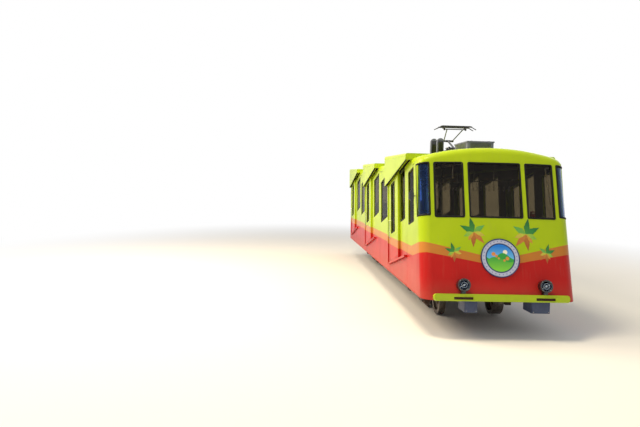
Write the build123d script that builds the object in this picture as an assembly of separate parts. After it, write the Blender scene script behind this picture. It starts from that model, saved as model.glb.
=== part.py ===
from build123d import *
import math
import os

# A funicular car for a 1067 mm track on an 11.28 degree incline.
# Floors, sills, window heads and doors are level in use, so the body is drawn in a level
# frame: x to the right seen from the downhill end, y uphill, z up, zero at the rail top
# below the downhill face. The running gear is drawn in the track frame: y along the rails,
# z square to them. Both share the same zero. Lengths are in millimetres.

slope = 11.28
rise = math.tan(math.radians(slope))
cos_slope = math.cos(math.radians(slope))

# Doors repeat along the car, and each step up matches the incline.
module = 4290.0
door_modules = [0, 1, 2]
car_length = len(door_modules) * module + 50.0
track_length = car_length / cos_slope

# Bottom centre of the whole car in the track frame.
origin_y = track_length / 2 + 248.2
origin_z = -25.0

# Body shell.
half_width = 1336.0
wall = 50.0
end_cut = 620.0
skirt_z = 612.0
eave_z = 3054.0
wall_top_z = eave_z - 112.0
crest_z = 3252.0
eave_r = 110.0
inner_half = half_width - wall

# Nose: height and setback of the raked face, then its plan.
nose_profile = [(400.0, -20.4), (2050.0, 130.0), (3800.0, 249.0)]
nose_flat_half = 500.0
crease_half = half_width - 186.0
wing_back = 60.0
corner_r = 223.0
corner_proud = 1.0

# End windows, in x and z.
end_window_z = (2090.0, 3058.0)
outer_edge = half_width - 281.0
end_windows = [(-outer_edge, -572.0), (-455.0, 455.0), (572.0, outer_edge)]
corner_window_x = half_width - 168.0
corner_window_y = 405.0
corner_window_z = (2122.0, 3058.0)
uphill_window_drop = 90.0
glass = 6.0
glass_set = 14.0

# Doors, from the middle of the first doorway. Heights along the flanks hold for a doorway
# whose middle is at level_door_line, and climb the incline with it when the module changes.
door_line = module - 1605.0
level_door_line = 2685.0
door_lift = (door_line - level_door_line) * rise
door_near = door_line - 585.0
door_far = door_line + 575.0
door_bottom = 1520.0 + door_lift
door_top = 3330.0 + door_lift
door_gap = 8.0
door_thick = 36.0
door_travel = 950.0
opening_y = (door_line - 485.0, door_line + 485.0)
opening_z = (1546.0 + door_lift, 3200.0 + door_lift)
door_window_y = (door_line - 185.0, door_line + 235.0)
door_window_z = (2130.0 + door_lift, 3190.0 + door_lift)

# Side windows of one module: uphill start, end and head, with the modules they stand in.
# The two short ones share the run between the end moulding and the first door.
side_window_height = 988.0
near_run = (end_cut + 97.0, door_line - 645.0)
near_middle = sum(near_run) / 2
side_windows = [
    {"y0": near_run[0], "y1": near_middle - 191.5, "head": 3073.0, "modules": [0]},
    {"y0": near_middle + 190.5, "y1": near_run[1], "head": 3251.0 + door_lift, "modules": [0]},
    {"y0": door_line + 945.0, "y1": door_line + 2040.0, "head": 3624.0 + door_lift, "modules": [0, 1]},
    {"y0": module + 819.0, "y1": module + 1710.0, "head": 3951.0 + door_lift, "modules": [0, 1]},
]

# Hood over each door.
hood_y = (door_line - 1785.0, door_far + 190.0)
hood_bottom = 3275.0 + door_lift
hood_near_top = 3400.0 + door_lift
hood_far_top = 3985.0 + door_lift
hood_out = 110.0
hood_skin = 20.0
hood_in = 480.0
rail_y = (door_line - 1288.0, door_far)
rail_z = (1474.0 + door_lift, 1512.0 + door_lift)
rail_out = 56.0
hanger_z = (3340.0 + door_lift, 3362.0 + door_lift)
hanger_y = (hood_y[0] + 100.0, hood_y[1] - 30.0)
hanger_out = 30.0
hook_centres = [door_near + 120.0, door_far - 120.0]
hook_width = 80.0
hook_seat = 0.3
hook_thick = 18.0
stop_y = (door_far + 15.0, door_far + 70.0)
stop_out = 64.0

# Stepped floor.
tread = module / 4
tread_start = 20.0
tread_count = 12
door_tread = 2
tread_thick = 40.0
riser_thick = 30.0

# Underframe and bogies, in the track frame.
sole_x = (250.0, 370.0)
sole_y = (360.0, track_length - 174.5)
bogie_y = (2900.0, track_length - 2574.5)
wheelbase = 1500.0
rail_x = 563.5
tread_r = 300.0
flange_r = 325.0
journal_r = 45.0
journal_fit = 0.05
axle_r = 55.0
pivot_r = 60.0
pivot_fit = 0.05
frame_z = (440.0, 540.0)
frame_x = (780.0, 860.0)

# Pantograph, in the track frame.
panto_x = 40.0
panto_y = 3600.0
panto_z = 3420.0
panto_arm = 620.0
panto_angle = 20.3
panto_pin_r = 14.0
panto_fit = 0.05

nodes = {}


def to_track(shape):
    # Level frame to track frame.
    return Rot(-slope, 0, 0) * shape


def to_level(shape):
    # Track frame to level frame.
    return Rot(slope, 0, 0) * shape


def add(name, shape, levelled=False):
    if levelled:
        shape = to_track(shape)
    nodes[name] = Pos(0, -origin_y, -origin_z) * shape


def block(x, y, z):
    # A box from its low and high sides on each axis.
    size = (x[1] - x[0], y[1] - y[0], z[1] - z[0])
    middle = ((x[0] + x[1]) / 2, (y[0] + y[1]) / 2, (z[0] + z[1]) / 2)
    return Pos(*middle) * Box(*size)


def both_sides(shape):
    return [shape, mirror(shape, Plane.YZ)]


def turned(shape):
    # The same piece at the uphill end.
    return Pos(0, car_length, car_length * rise) * (Rot(0, 0, 180) * shape)


def rod(start, end, radius):
    start = Vector(*start)
    path = Vector(*end) - start
    return Plane(origin=start, z_dir=path) * Cylinder(
        radius, path.length, align=(Align.CENTER, Align.CENTER, Align.MIN))


def lathe(points):
    # Solid of revolution about the x axis from (x, radius) points.
    return revolve(make_face(Polyline(*points, close=True)), Axis.X)


def along_track(face, y0, y1):
    # A face drawn in x and z, run from y0 to y1.
    return extrude(Plane((0, y1, 0), x_dir=(1, 0, 0), z_dir=(0, -1, 0)) * face, amount=y1 - y0)


def side_profile(points, x0, x1):
    # A face drawn in y and z, run from x0 to x1.
    return extrude(Plane((x0, 0, 0), x_dir=(0, 1, 0), z_dir=(1, 0, 0)) * make_face(
        Polyline(*points, close=True)), amount=x1 - x0)


def body_tube(inset, bottom):
    # Everything inside the wall and roof line, for the whole length.
    half = half_width - inset
    top = eave_z - inset
    roof = ThreePointArc((-half, top), (0, crest_z - inset), (half, top))
    sides = Polyline((half, top), (half, bottom), (-half, bottom), (-half, top))
    face = make_face([roof, sides])
    corners = face.vertices().sort_by(Axis.Y)[-2:]
    face = fillet(corners, eave_r - inset)
    return to_level(along_track(face, -1500, car_length + 3500))


def nose_air(n, inset):
    # What stands in front of one part of the raked face, or of its inner side.
    (z0, y0), (z1, y1) = nose_profile[n:n + 2]
    rake = math.atan((y1 - y0) / (z1 - z0))
    centre_x = half_width + corner_proud - corner_r
    crease = math.asin((crease_half - centre_x) / corner_r)
    centre_y = wing_back + corner_r * math.cos(crease)
    radius = corner_r - inset
    half = centre_x + radius

    def on_corner(side, angle):
        return (side * (centre_x + radius * math.sin(angle)), centre_y - radius * math.cos(angle))

    mid = (crease + math.pi / 2) / 2
    right = ThreePointArc((half, centre_y), on_corner(1, mid), on_corner(1, crease))
    left = ThreePointArc(on_corner(-1, crease), on_corner(-1, mid), (-half, centre_y))
    front = Polyline(on_corner(1, crease), (nose_flat_half, inset),
                     (-nose_flat_half, inset), on_corner(-1, crease))
    around = Polyline((-half, centre_y), (-wide, centre_y), (-wide, -2 * end_cut), (wide, -2 * end_cut),
                      (wide, centre_y), (half, centre_y))
    outline = make_face([right, front, left, around])
    low = Plane((0, y0, z0), x_dir=(1, 0, 0), z_dir=(0, math.sin(rake), math.cos(rake)))
    return extrude(low * Pos(0, 0, -200) * outline, amount=z1 - z0 + 400, dir=low.z_dir)


def nose_cut(inset):
    # Both parts, mitred where the rake changes.
    z, y = nose_profile[1]
    mean = (math.atan((y - nose_profile[0][1]) / (z - nose_profile[0][0]))
            + math.atan((nose_profile[2][1] - y) / (nose_profile[2][0] - z))) / 2
    mitre = Plane((0, y, z), x_dir=(1, 0, 0), z_dir=(0, math.sin(mean), math.cos(mean)))
    return [split(nose_air(0, inset), bisect_by=mitre, keep=Keep.BOTTOM),
            split(nose_air(1, inset), bisect_by=mitre, keep=Keep.TOP)]


wide = half_width + 300.0
high = crest_z + car_length * rise + 1500.0
through_wall = (inner_half - 50, half_width + 50)
tube_outer = body_tube(0, skirt_z)
tube_inner = body_tube(wall, 0)
outer_cut = nose_cut(0)
inner_cut = nose_cut(wall)
far_outer_cut = [turned(piece) for piece in outer_cut]
far_inner_cut = [turned(piece) for piece in inner_cut]
long_body = block((-wide, wide), (end_cut, car_length - end_cut), (-500, high))
near_end = block((-wide, wide), (-end_cut, end_cut), (-500, high))
near_room = block((-wide, wide), (-end_cut, end_cut + wall), (-500, high))

# Ends, each one hollow moulding with its part of the roof. The roof falls towards the
# uphill windows, so they stand lower than the downhill ones.
end_cuts = [block(x, (-300, 600), end_window_z) for x in end_windows]
end_cuts += both_sides(block((corner_window_x, wide), (-300, corner_window_y), corner_window_z))
far_cuts = [turned(Pos(0, 0, -uphill_window_drop) * cut) for cut in end_cuts]
front_room = (tube_inner & near_room) - inner_cut
far_room = (tube_inner & turned(near_room)) - far_inner_cut
front_shell = (tube_outer & near_end) - outer_cut - front_room - end_cuts
rear_shell = (tube_outer & turned(near_end)) - far_outer_cut - far_room - far_cuts
add("front_end_shell", front_shell, True)
add("rear_end_shell", rear_shell, True)

# The panes follow the upper part of the face, flat ones in front and bent ones at the corners.
pane = nose_air(1, glass_set + glass) - nose_air(1, glass_set)
far_pane = turned(pane)
end_glass = [pane & cut for cut in end_cuts[:3]] + [far_pane & cut for cut in far_cuts[:3]]
add("end_window_glass", Compound([s for g in end_glass for s in g.solids()]), True)
bent_glass = [pane & cut for cut in end_cuts[3:]] + [far_pane & cut for cut in far_cuts[3:]]
add("corner_window_glass", Compound([s for g in bent_glass for s in g.solids()]), True)

# Side walls: panels with stepped windows, and a sill and a lintel at each doorway.
wall_plate = to_level(block((half_width - wall, half_width), (-1500, car_length + 3500),
                            (skirt_z, wall_top_z))) & long_body
window_cuts = []
for window in side_windows:
    for k in window["modules"]:
        along = k * module
        window_head = window["head"] + along * rise
        window_cuts.append(block(through_wall, (window["y0"] + along, window["y1"] + along),
                                 (window_head - side_window_height, window_head)))
jamb_cuts = [block(through_wall, (opening_y[0] + k * module, opening_y[1] + k * module), (0, high))
             for k in door_modules]
door_cuts = [Pos(0, k * module, k * module * rise) * block(through_wall, opening_y, opening_z)
             for k in door_modules]
side_panels = wall_plate - window_cuts - jamb_cuts
add("side_panels_right", side_panels, True)
add("side_panels_left", mirror(side_panels, Plane.YZ), True)
surrounds = [(wall_plate & jambs) - cut for jambs, cut in zip(jamb_cuts, door_cuts)]
add("door_surrounds", Compound([s for p in surrounds for m in both_sides(p) for s in m.solids()]), True)

glass_layer = block((half_width - glass_set - glass, half_width - glass_set), (0, car_length), (0, high))
side_panes = [glass_layer & cut for cut in window_cuts]
add("side_window_glass", Compound([s for p in side_panes for m in both_sides(p) for s in m.solids()]), True)

# Roof skin between the ends.
above_walls = to_level(block((-wide, wide), (-1500, car_length + 3500), (wall_top_z, crest_z + 500)))
roof = (tube_outer - tube_inner) & above_walls & long_body
add("roof_skin", roof, True)

# Door hoods: hollow wedges, level below and open at the bottom for the door to hang in.
hood_run = [(hood_y[0], hood_bottom), (hood_y[0], hood_near_top),
            (hood_y[1], hood_far_top), (hood_y[1], hood_bottom)]
hollow_run = [(hood_y[0] + hood_skin, hood_bottom - 50), (hood_y[0] + hood_skin, hood_near_top - hood_skin),
              (hood_y[1] - hood_skin, hood_far_top - 1.5 * hood_skin), (hood_y[1] - hood_skin, hood_bottom - 50)]
hood = side_profile(hood_run, half_width - hood_in, half_width + hood_out)
hood = fillet(hood.edges().group_by(Axis.X)[-1].sort_by(Axis.Z)[-1], 45)
hood = hood - tube_outer - side_profile(hollow_run, half_width, half_width + hood_out - hood_skin)
hoods = []
for k in door_modules:
    placed = Pos(0, k * module, k * module * rise) * hood
    for side in both_sides(placed):
        hoods += side.solids()
add("door_hoods", Compound(hoods), True)

# Rails that carry and guide the doors, and the post each door closes against.
door_rail = block((half_width, half_width + rail_out), rail_y, rail_z)
hanger = block((half_width, half_width + hanger_out), hanger_y, hanger_z)
stop_post = block((half_width, half_width + stop_out), stop_y, (rail_z[0], hood_bottom))
rails = []
for k in door_modules:
    for piece in (door_rail, hanger, stop_post):
        placed = Pos(0, k * module, k * module * rise) * piece
        for side in both_sides(placed):
            rails += side.solids()
add("door_rails", Compound(rails), True)

# Sliding doors.
door_x = (half_width + door_gap, half_width + door_gap + door_thick)
leaf = block(door_x, (door_near, door_far), (door_bottom, door_top))
leaf -= block((half_width, half_width + 100), door_window_y, door_window_z)
for y in hook_centres:
    hook_y = (y - hook_width / 2, y + hook_width / 2)
    hook_top = hanger_z[1] + hook_seat + hook_thick
    leaf += block((half_width + hanger_out + hook_seat, door_x[1]), hook_y, (door_top, hook_top))
    leaf += block((half_width + 6, door_x[1]), hook_y, (hanger_z[1] + hook_seat, hook_top))
leaf_glass = block((door_x[0] + 15, door_x[0] + 15 + glass), door_window_y, door_window_z)
for k in door_modules:
    shift = Pos(0, k * module, k * module * rise)
    for side, flip in (("right", False), ("left", True)):
        for name, shape in (("door", leaf), ("door_glass", leaf_glass)):
            placed = shift * shape
            if flip:
                placed = mirror(placed, Plane.YZ)
            add(f"{name}_{side}_{k + 1}", placed, True)

# Stepped floor, one tread at each doorway.
step_up = tread * rise
first_z = opening_z[0] - door_tread * step_up
top_line = []
low_line = []
for k in range(tread_count):
    y0 = tread_start + k * tread
    z = first_z + k * step_up
    top_line += [(y0, z), (y0 + tread, z)]
    low_line += [(y0 + riser_thick, z - tread_thick), (y0 + tread + riser_thick, z - tread_thick)]
low_line[0] = (tread_start, first_z - tread_thick)
low_line[-1] = (tread_start + tread_count * tread, low_line[-1][1])
stairs = side_profile(top_line + low_line[::-1], -inner_half, inner_half)
add("stepped_floor", stairs - inner_cut - far_inner_cut, True)

# Underframe: two sole bars under the floor, with the cross members and bolsters below them.
sole_top = (first_z - tread_thick - (tread_start + tread + riser_thick) * rise) * cos_slope
sole_z = (sole_top - 138.0, sole_top)
cross_z = (skirt_z + 8, sole_z[0])
sole_bar = block(sole_x, sole_y, sole_z)
add("sole_bars", Compound([side.solids()[0] for side in both_sides(sole_bar)]))
members = [block((-1000, 1000), (y - 70, y + 40), cross_z).solids()[0] for y in (sole_y[0], sole_y[1] + 70)]
member_y = [bogie_y[0] - 1600, bogie_y[0] + 1700, sum(bogie_y) / 2, bogie_y[1] - 1700, bogie_y[1] + 1650]
members += [block((-inner_half, inner_half), (y - 40, y + 40), cross_z).solids()[0] for y in member_y]
add("cross_members", Compound(members))
bolster = block((-inner_half, inner_half), (-150, 150), cross_z) + rod((0, 0, 450), (0, 0, cross_z[1]), pivot_r)
add("bogie_bolsters", Compound([(Pos(0, y, 0) * bolster).solids()[0] for y in bogie_y]))

# Boxes hung below the sills at each end.
box_z = (380.0, cross_z[0])
near_y = (sole_y[0] - 30, sole_y[0] + 360)
far_y = (sole_y[1] - 360, sole_y[1] + 30)
sill_boxes = []
for sign, y in ((1, near_y), (-1, far_y)):
    for x in ((-570, -350), (600, 917)):
        sill_boxes += block(sorted(sign * e for e in x), y, box_z).solids()
add("sill_boxes", Compound(sill_boxes))

# Bogies.
frame = block(frame_x, (-1000, 1000), frame_z)
frame += mirror(frame, Plane.YZ)
frame += block((-frame_x[0], frame_x[0]), (-180, 180), (frame_z[0], frame_z[1]))
frame += rod((0, 0, frame_z[0] - 40), (0, 0, cross_z[0] - 6), 160)
frame -= rod((0, 0, 0), (0, 0, 900), pivot_r + pivot_fit)
box_x = (frame_x[0] - 15, frame_x[1] + 20)
axle_boxes = []
for y in (-wheelbase / 2, wheelbase / 2):
    box = block(box_x, (y - 105, y + 105), (tread_r - 105, tread_r + 100))
    box -= rod((0, y, tread_r), (box_x[1] - 15, y, tread_r), journal_r + journal_fit)
    for dy in (-70, 70):
        box += block((778, 862), (y + dy - 30, y + dy + 30), (tread_r + 100, frame_z[0]))
    for side in both_sides(box):
        axle_boxes += side.solids()

# One axle: a double-flanged wheel on the left rail, a plain wide roller on the right rail.
journal_end = box_x[1] - 20
rim_r = 240.0
web_half = 20.0
flange_half = 62.5
roller_half = 100.0
wheel_line = [
    (-journal_end, 0), (-journal_end, journal_r), (-rail_x - web_half, journal_r), (-rail_x - web_half, rim_r), (-rail_x - flange_half, rim_r),
    (-rail_x - flange_half, flange_r), (-rail_x - flange_half + 16, flange_r),
    (-rail_x - flange_half + 26, tread_r), (-rail_x + flange_half - 26, tread_r),
    (-rail_x + flange_half - 16, flange_r), (-rail_x + flange_half, flange_r), (-rail_x + flange_half, rim_r),
    (-rail_x + web_half, rim_r), (-rail_x + web_half, axle_r), (rail_x - web_half, axle_r),
    (rail_x - web_half, rim_r), (rail_x - roller_half, rim_r), (rail_x - roller_half, tread_r),
    (rail_x + roller_half, tread_r), (rail_x + roller_half, rim_r), (rail_x + web_half, rim_r),
    (rail_x + web_half, journal_r), (journal_end, journal_r), (journal_end, 0),
]
wheelset = lathe(wheel_line)

# Rail clamp on the flanged side: two jaws beside the rail head and their cylinder above.
clamp = block((-rail_x - 75, -rail_x + 75), (-130, 130), (170, 300))
clamp += block((-rail_x - 75, -rail_x - 45), (-160, 160), (-10, 200))
clamp += block((-rail_x + 45, -rail_x + 75), (-160, 160), (-10, 200))
clamp += block((-rail_x - 50, -rail_x + 50), (-60, 60), (300, frame_z[0]))
clamp += rod((-rail_x + 75, 0, 235), (-rail_x + 260, 0, 235), 55)

for n, y in enumerate(bogie_y):
    name = ("front", "rear")[n]
    at = Pos(0, y, 0)
    add(f"bogie_frame_{name}", at * frame)
    add(f"axle_boxes_{name}", at * Compound(axle_boxes))
    add(f"rail_clamp_{name}", at * clamp)
    for m, dy in enumerate((-wheelbase / 2, wheelbase / 2)):
        add(f"wheelset_{name}_{m + 1}", Pos(0, y + dy, tread_r) * wheelset)

# Haul rope anchor at the uphill end.
anchor_y = sole_y[1] + 120
anchor = block((-90, 90), (anchor_y - 120, anchor_y), (skirt_z - 60, cross_z[0]))
anchor += block((-60, 60), (anchor_y - 60, anchor_y + 40), (430, skirt_z - 60))
anchor += rod((0, anchor_y + 40, 480), (0, anchor_y + 300, 480), 42)
anchor -= rod((0, anchor_y + 150, 480), (0, anchor_y + 400, 480), 18)
add("haul_rope_anchor", anchor)

# Bumper bars, in the level frame.
bumper_z = (624.0, 746.0)
lamp_x = (-658.0, 742.0)
bumper_half = half_width - 181.0
bumper = block((-bumper_half, bumper_half), (-40, 90), bumper_z)
bumper = fillet(bumper.edges().filter_by(Axis.Y), 50)
for x in lamp_x:
    bumper -= block((x - 165, x + 165), (-80, 80), (650, 694))
bumper = bumper & nose_air(0, 0)
add("bumper_bars", Compound(bumper.solids() + turned(bumper).solids()), True)

# Headlamps.
lamp_z = 893.0
lamp_r = 105.0
housings = []
lenses = []
for x in lamp_x:
    can = rod((x, -85, lamp_z), (x, 120, lamp_z), lamp_r)
    can -= rod((x, -100, lamp_z), (x, -50, lamp_z), lamp_r - 16)
    foot = block((x - 35, x + 35), (-40, 120), (bumper_z[1] + 6, lamp_z))
    can = (can + foot) & nose_air(0, 0)
    lens = rod((x, -72, lamp_z), (x, -50, lamp_z), lamp_r - 16)
    housings += can.solids() + turned(can).solids()
    lenses += lens.solids() + turned(lens).solids()
add("headlamp_housings", Compound(housings), True)
add("headlamp_lenses", Compound(lenses), True)

# Round plates on the raked faces.
emblem_x = 15.0
emblem_z = 1366.0
emblem_r = 338.0
rake = math.atan((nose_profile[1][1] - nose_profile[0][1]) / (nose_profile[1][0] - nose_profile[0][0]))
plate_y = nose_profile[1][1] - (nose_profile[1][0] - emblem_z) * math.tan(rake)
plate = Plane((emblem_x, plate_y, emblem_z), z_dir=(0, -math.cos(rake), math.sin(rake))) * Cylinder(
    emblem_r, 16, align=(Align.CENTER, Align.CENTER, Align.MIN))
add("round_plates", Compound(plate.solids() + turned(plate).solids()), True)

# Roof vent, cowls and pantograph, in the track frame.
tube_track = to_track(tube_outer)
vent = block((-256, 256), (1580, 2480), (3150, 3416))
vent = chamfer(vent.edges().filter_by(Axis.Z), 12)
add("roof_vent_box", vent - tube_track)
cowls = []
for y, top in ((3300, 3545), (3910, 3585)):
    cowl = block((-428, -292), (y - 50, y + 50), (3150, top))
    cowl += rod((-360, y - 50, top), (-360, y + 50, top), 68)
    cowls += (cowl - tube_track).solids()
add("roof_cowls", Compound(cowls))

base = block((-260, 260), (panto_y - 330, panto_y - 290), (3352, 3392))
base += block((-260, 260), (panto_y + 290, panto_y + 330), (3352, 3392))
base += block((-20, 20), (panto_y - 290, panto_y + 290), (3352, 3392))
for x in (-150, 150):
    base += block((x - 15, x + 15), (panto_y - 330, panto_y + 330), (3352, 3392))
    ear = block((x - 15, x + 15), (panto_y - 40, panto_y + 40), (3392, panto_z + 34))
    base += ear
base -= rod((-400, panto_y, panto_z), (400, panto_y, panto_z), panto_pin_r + panto_fit)
base -= block((-100, 100), (panto_y - 60, panto_y + 60), (3300, 3500))
base = base.solids().sort_by(SortBy.VOLUME)[-1]
add("pantograph_base", Pos(panto_x, 0, 0) * base)

insulators = []
for x in (panto_x - 220, panto_x + 220):
    for y in (panto_y - 310, panto_y + 310):
        post = block((x - 22, x + 22), (y - 22, y + 22), (3150, 3352)) + rod((x, y, 3290), (x, y, 3306), 44)
        insulators += (post - tube_track).solids()
add("pantograph_insulators", Compound(insulators))

angle = math.radians(panto_angle)
knee = (0, panto_y + panto_arm * math.cos(angle), panto_z + panto_arm * math.sin(angle))
head = (0, panto_y, panto_z + 2 * panto_arm * math.sin(angle))
lower = rod((-200, panto_y, panto_z), (200, panto_y, panto_z), panto_pin_r)
lower += rod((-85, panto_y, panto_z), (85, panto_y, panto_z), 28)
lower += rod((0, panto_y, panto_z), knee, 22)
lower += rod((-60, knee[1], knee[2]), (60, knee[1], knee[2]), 26)
lower -= rod((-100, knee[1], knee[2]), (100, knee[1], knee[2]), panto_pin_r + panto_fit)
add("pantograph_lower_arm", Pos(panto_x, 0, 0) * lower)

upper = rod((-130, knee[1], knee[2]), (130, knee[1], knee[2]), panto_pin_r)
for side in (-1, 1):
    upper += rod((side * 75, knee[1], knee[2]), (side * 120, knee[1], knee[2]), 24)
    upper += rod((side * 100, knee[1], knee[2]), (side * 180, head[1], head[2]), 12)
upper += rod((-260, head[1], head[2]), (260, head[1], head[2]), panto_pin_r - 4)
add("pantograph_upper_arm", Pos(panto_x, 0, 0) * upper)

shoe = None
for dy in (-110, 110):
    y = head[1] + dy
    z = head[2] + 50
    strip = block((-350, 350), (y - 22, y + 22), (z - 12, z + 12))
    for side in (-1, 1):
        strip += rod((side * 340, y, z - 2), (side * 445, y, z - 60), 9)
    shoe = strip if shoe is None else shoe + strip
for side in (-1, 1):
    yoke = block((side * 240 - 12, side * 240 + 12), (head[1] - 130, head[1] + 130),
                 (head[2] + 20, head[2] + 44))
    yoke += block((side * 240 - 12, side * 240 + 12), (head[1] - 24, head[1] + 24), (head[2] - 24, head[2] + 24))
    shoe += yoke
shoe -= rod((-300, head[1], head[2]), (300, head[1], head[2]), panto_pin_r - 4 + panto_fit)
add("pantograph_head", Pos(panto_x, 0, 0) * shoe)

# Cabin: benches on the treads without a door, driving desks and poles.
bench_treads = [3, 4, 5, 7, 8, 9]
benches = []
for k in bench_treads:
    y1 = tread_start + (k + 1) * tread - 40
    z = first_z + k * step_up
    run = [(y1 - 60, z), (y1 - 60, z + 380), (y1 - 480, z + 400), (y1 - 480, z + 440), (y1 - 70, z + 430),
           (y1 - 20, z + 900), (y1 + 20, z + 900), (y1, z)]
    benches += side_profile(run, 340, inner_half - 60).solids()
    benches += side_profile(run, -inner_half + 60, -340).solids()
add("benches", Compound(benches), True)

desk_run = [(0, 0), (0, 880), (330, 800), (330, 760), (90, 560), (90, 0)]
desk_y = 240.0
desk = side_profile([(desk_y + y, first_z + z) for y, z in desk_run], 150, 1000)
last_z = first_z + (tread_count - 1) * step_up
far_desk = side_profile([(car_length - desk_y - y, last_z + z) for y, z in desk_run], -1000, -150)
add("driving_desks", Compound(desk.solids() + far_desk.solids()), True)

poles = []
for k in door_modules:
    y = door_line + 35 + k * module
    z = opening_z[0] + k * module * rise
    for x in (-300, 300):
        pole = rod((x, y, z), (x, y, z + 2600), 17) & tube_inner
        poles += pole.solids()
add("grab_poles", Compound(poles), True)

# Driving mirrors, at opposite corners.
mirror_y = 560.0
mirror_z = 2510.0
mirror_out = half_width + 75.0
arm = block((-mirror_out, -half_width), (mirror_y - 8, mirror_y + 8), (mirror_z - 8, mirror_z + 8))
arm += block((-mirror_out - 8, -mirror_out + 8), (mirror_y - 8, mirror_y + 8), (mirror_z - 90, mirror_z + 90))
glass_back = block((-mirror_out - 45, -mirror_out + 45), (mirror_y - 26, mirror_y - 8), (mirror_z - 75, mirror_z + 75))
arm += fillet(glass_back.edges().filter_by(Axis.Y), 20)
add("driving_mirrors", Compound(arm.solids() + turned(arm).solids()), True)

os.makedirs("parts", exist_ok=True)
for name, shape in nodes.items():
    export_step(shape, f"parts/{name}.step")
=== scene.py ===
import bpy
import bmesh
import math
from functools import partial
from mathutils import Matrix, Vector
from mathutils.bvhtree import BVHTree


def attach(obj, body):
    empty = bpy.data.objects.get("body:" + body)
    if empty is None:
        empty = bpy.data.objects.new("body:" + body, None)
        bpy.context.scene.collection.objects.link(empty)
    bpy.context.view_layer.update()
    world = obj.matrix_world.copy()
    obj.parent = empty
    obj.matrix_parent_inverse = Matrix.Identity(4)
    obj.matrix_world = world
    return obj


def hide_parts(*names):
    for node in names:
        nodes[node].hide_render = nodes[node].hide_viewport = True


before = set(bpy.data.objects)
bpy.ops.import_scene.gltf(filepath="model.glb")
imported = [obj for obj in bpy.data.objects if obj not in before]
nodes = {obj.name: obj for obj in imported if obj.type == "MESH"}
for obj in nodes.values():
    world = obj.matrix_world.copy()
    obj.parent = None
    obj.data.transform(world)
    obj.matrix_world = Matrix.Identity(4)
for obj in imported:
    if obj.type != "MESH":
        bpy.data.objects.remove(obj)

print("stage: frame loaded")
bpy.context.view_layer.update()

# The car stands on its track along Y. Windows, doors and floors are level in use, so their
# details are placed in a level frame: x to the right from the downhill end, y uphill, z up,
# zero at the rail top below the downhill face. Metres.
carSizes = {
    "slope": math.radians(11.28),
    "module": 4.290,          # from one door to the next
    "length": 12.920,
    "halfWidth": 1.336,
    "originShift": 0.2482,    # the car's middle, uphill of half its length on the track
    "railTop": 0.025,
    "uphillDrop": 0.090,      # the roof falls towards the uphill windows, so they stand lower
    "crease": (0.130, 2.050),  # where the face's rake changes, in y and z
    "rake": math.atan(0.1504 / 1.650),
    "upperRake": 0.068,
}
cosSlope, sinSlope, tanSlope = (ratio(carSizes["slope"]) for ratio in (math.cos, math.sin, math.tan))
originY = carSizes["length"] / cosSlope / 2 + carSizes["originShift"]
trackToRow = Matrix.Translation((0, -originY, carSizes["railTop"]))
levelToRow = trackToRow @ Matrix.Rotation(-carSizes["slope"], 4, "X")
climb = carSizes["length"] * tanSlope
turnRound = Matrix.Translation((0, carSizes["length"], climb)) @ Matrix.Rotation(math.pi, 4, "Z")
uphillEnd = levelToRow @ turnRound @ levelToRow.inverted()
doorStep = Vector((0, carSizes["module"], carSizes["module"] * tanSlope))
doorPlaces = [levelToRow @ Matrix.Translation(doorStep * k) for k in range(3)]
ends = {"front": (Matrix.Identity(4), 0.0), "rear": (uphillEnd, carSizes["uphillDrop"])}
flanks = (("left", -1), ("right", 1))


def newObject(name, data):
    thing = bpy.data.objects.new(name, data)
    bpy.context.scene.collection.objects.link(thing)
    return thing


# Camera, fitted to the photograph's view of the car.
cameraSizes = {"lens": 33.38, "place": (-3.5298, -16.4813, 2.4380),
               "right": (0.99876, -0.04308, 0.02491), "up": (-0.02317, 0.04032, 0.99892)}
camera = newObject("camera", bpy.data.cameras.new("camera"))
camera.data.lens = cameraSizes["lens"]
camera.data.clip_end = 200
right = Vector(cameraSizes["right"]).normalized()
back = right.cross(Vector(cameraSizes["up"])).normalized()
turned = Matrix((right, back.cross(right), back)).transposed()
camera.matrix_world = Matrix.Translation(cameraSizes["place"]) @ turned.to_4x4()
bpy.context.scene.camera = camera
bpy.context.scene.view_settings.view_transform = "Standard"


def toLinear(hexText):
    # sRGB hex to the linear colour that the shaders take
    channels = [int(hexText[i:i + 2], 16) / 255 for i in (1, 3, 5)]
    return tuple(c / 12.92 if c <= 0.04045 else ((c + 0.055) / 1.055) ** 2.4 for c in channels) + (1.0,)


def feed(node, links):
    # sets a node's inputs, each from a socket, from another node's first live output, or to a value
    for socket, value in links.items():
        if isinstance(value, bpy.types.Node):
            value = next(output for output in value.outputs if output.enabled)
        if isinstance(value, bpy.types.NodeSocket):
            node.id_data.links.new(value, node.inputs[socket])
        else:
            node.inputs[socket].default_value = value


def addNode(tree, kind, links=None, **settings):
    node = tree.nodes.new(kind)
    for name, value in settings.items():
        setattr(node, name, value)
    feed(node, links or {})
    return node


def newMaterial(name):
    # a material, the call that adds a node to it, and its shader
    material = bpy.data.materials.new(name)
    material.use_nodes = True
    return material, partial(addNode, material.node_tree), material.node_tree.nodes["Principled BSDF"]


def seenDirectly(add):
    # 1 for what the camera sees by itself, in a gloss or through glass, which is the plain backdrop
    ray = add("ShaderNodeLightPath").outputs
    direct = add("ShaderNodeMath", {0: ray["Is Camera Ray"], 1: ray["Is Glossy Ray"]}, operation="MAXIMUM")
    return add("ShaderNodeMath", {0: direct, 1: ray["Is Transmission Ray"]}, operation="MAXIMUM")


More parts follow.
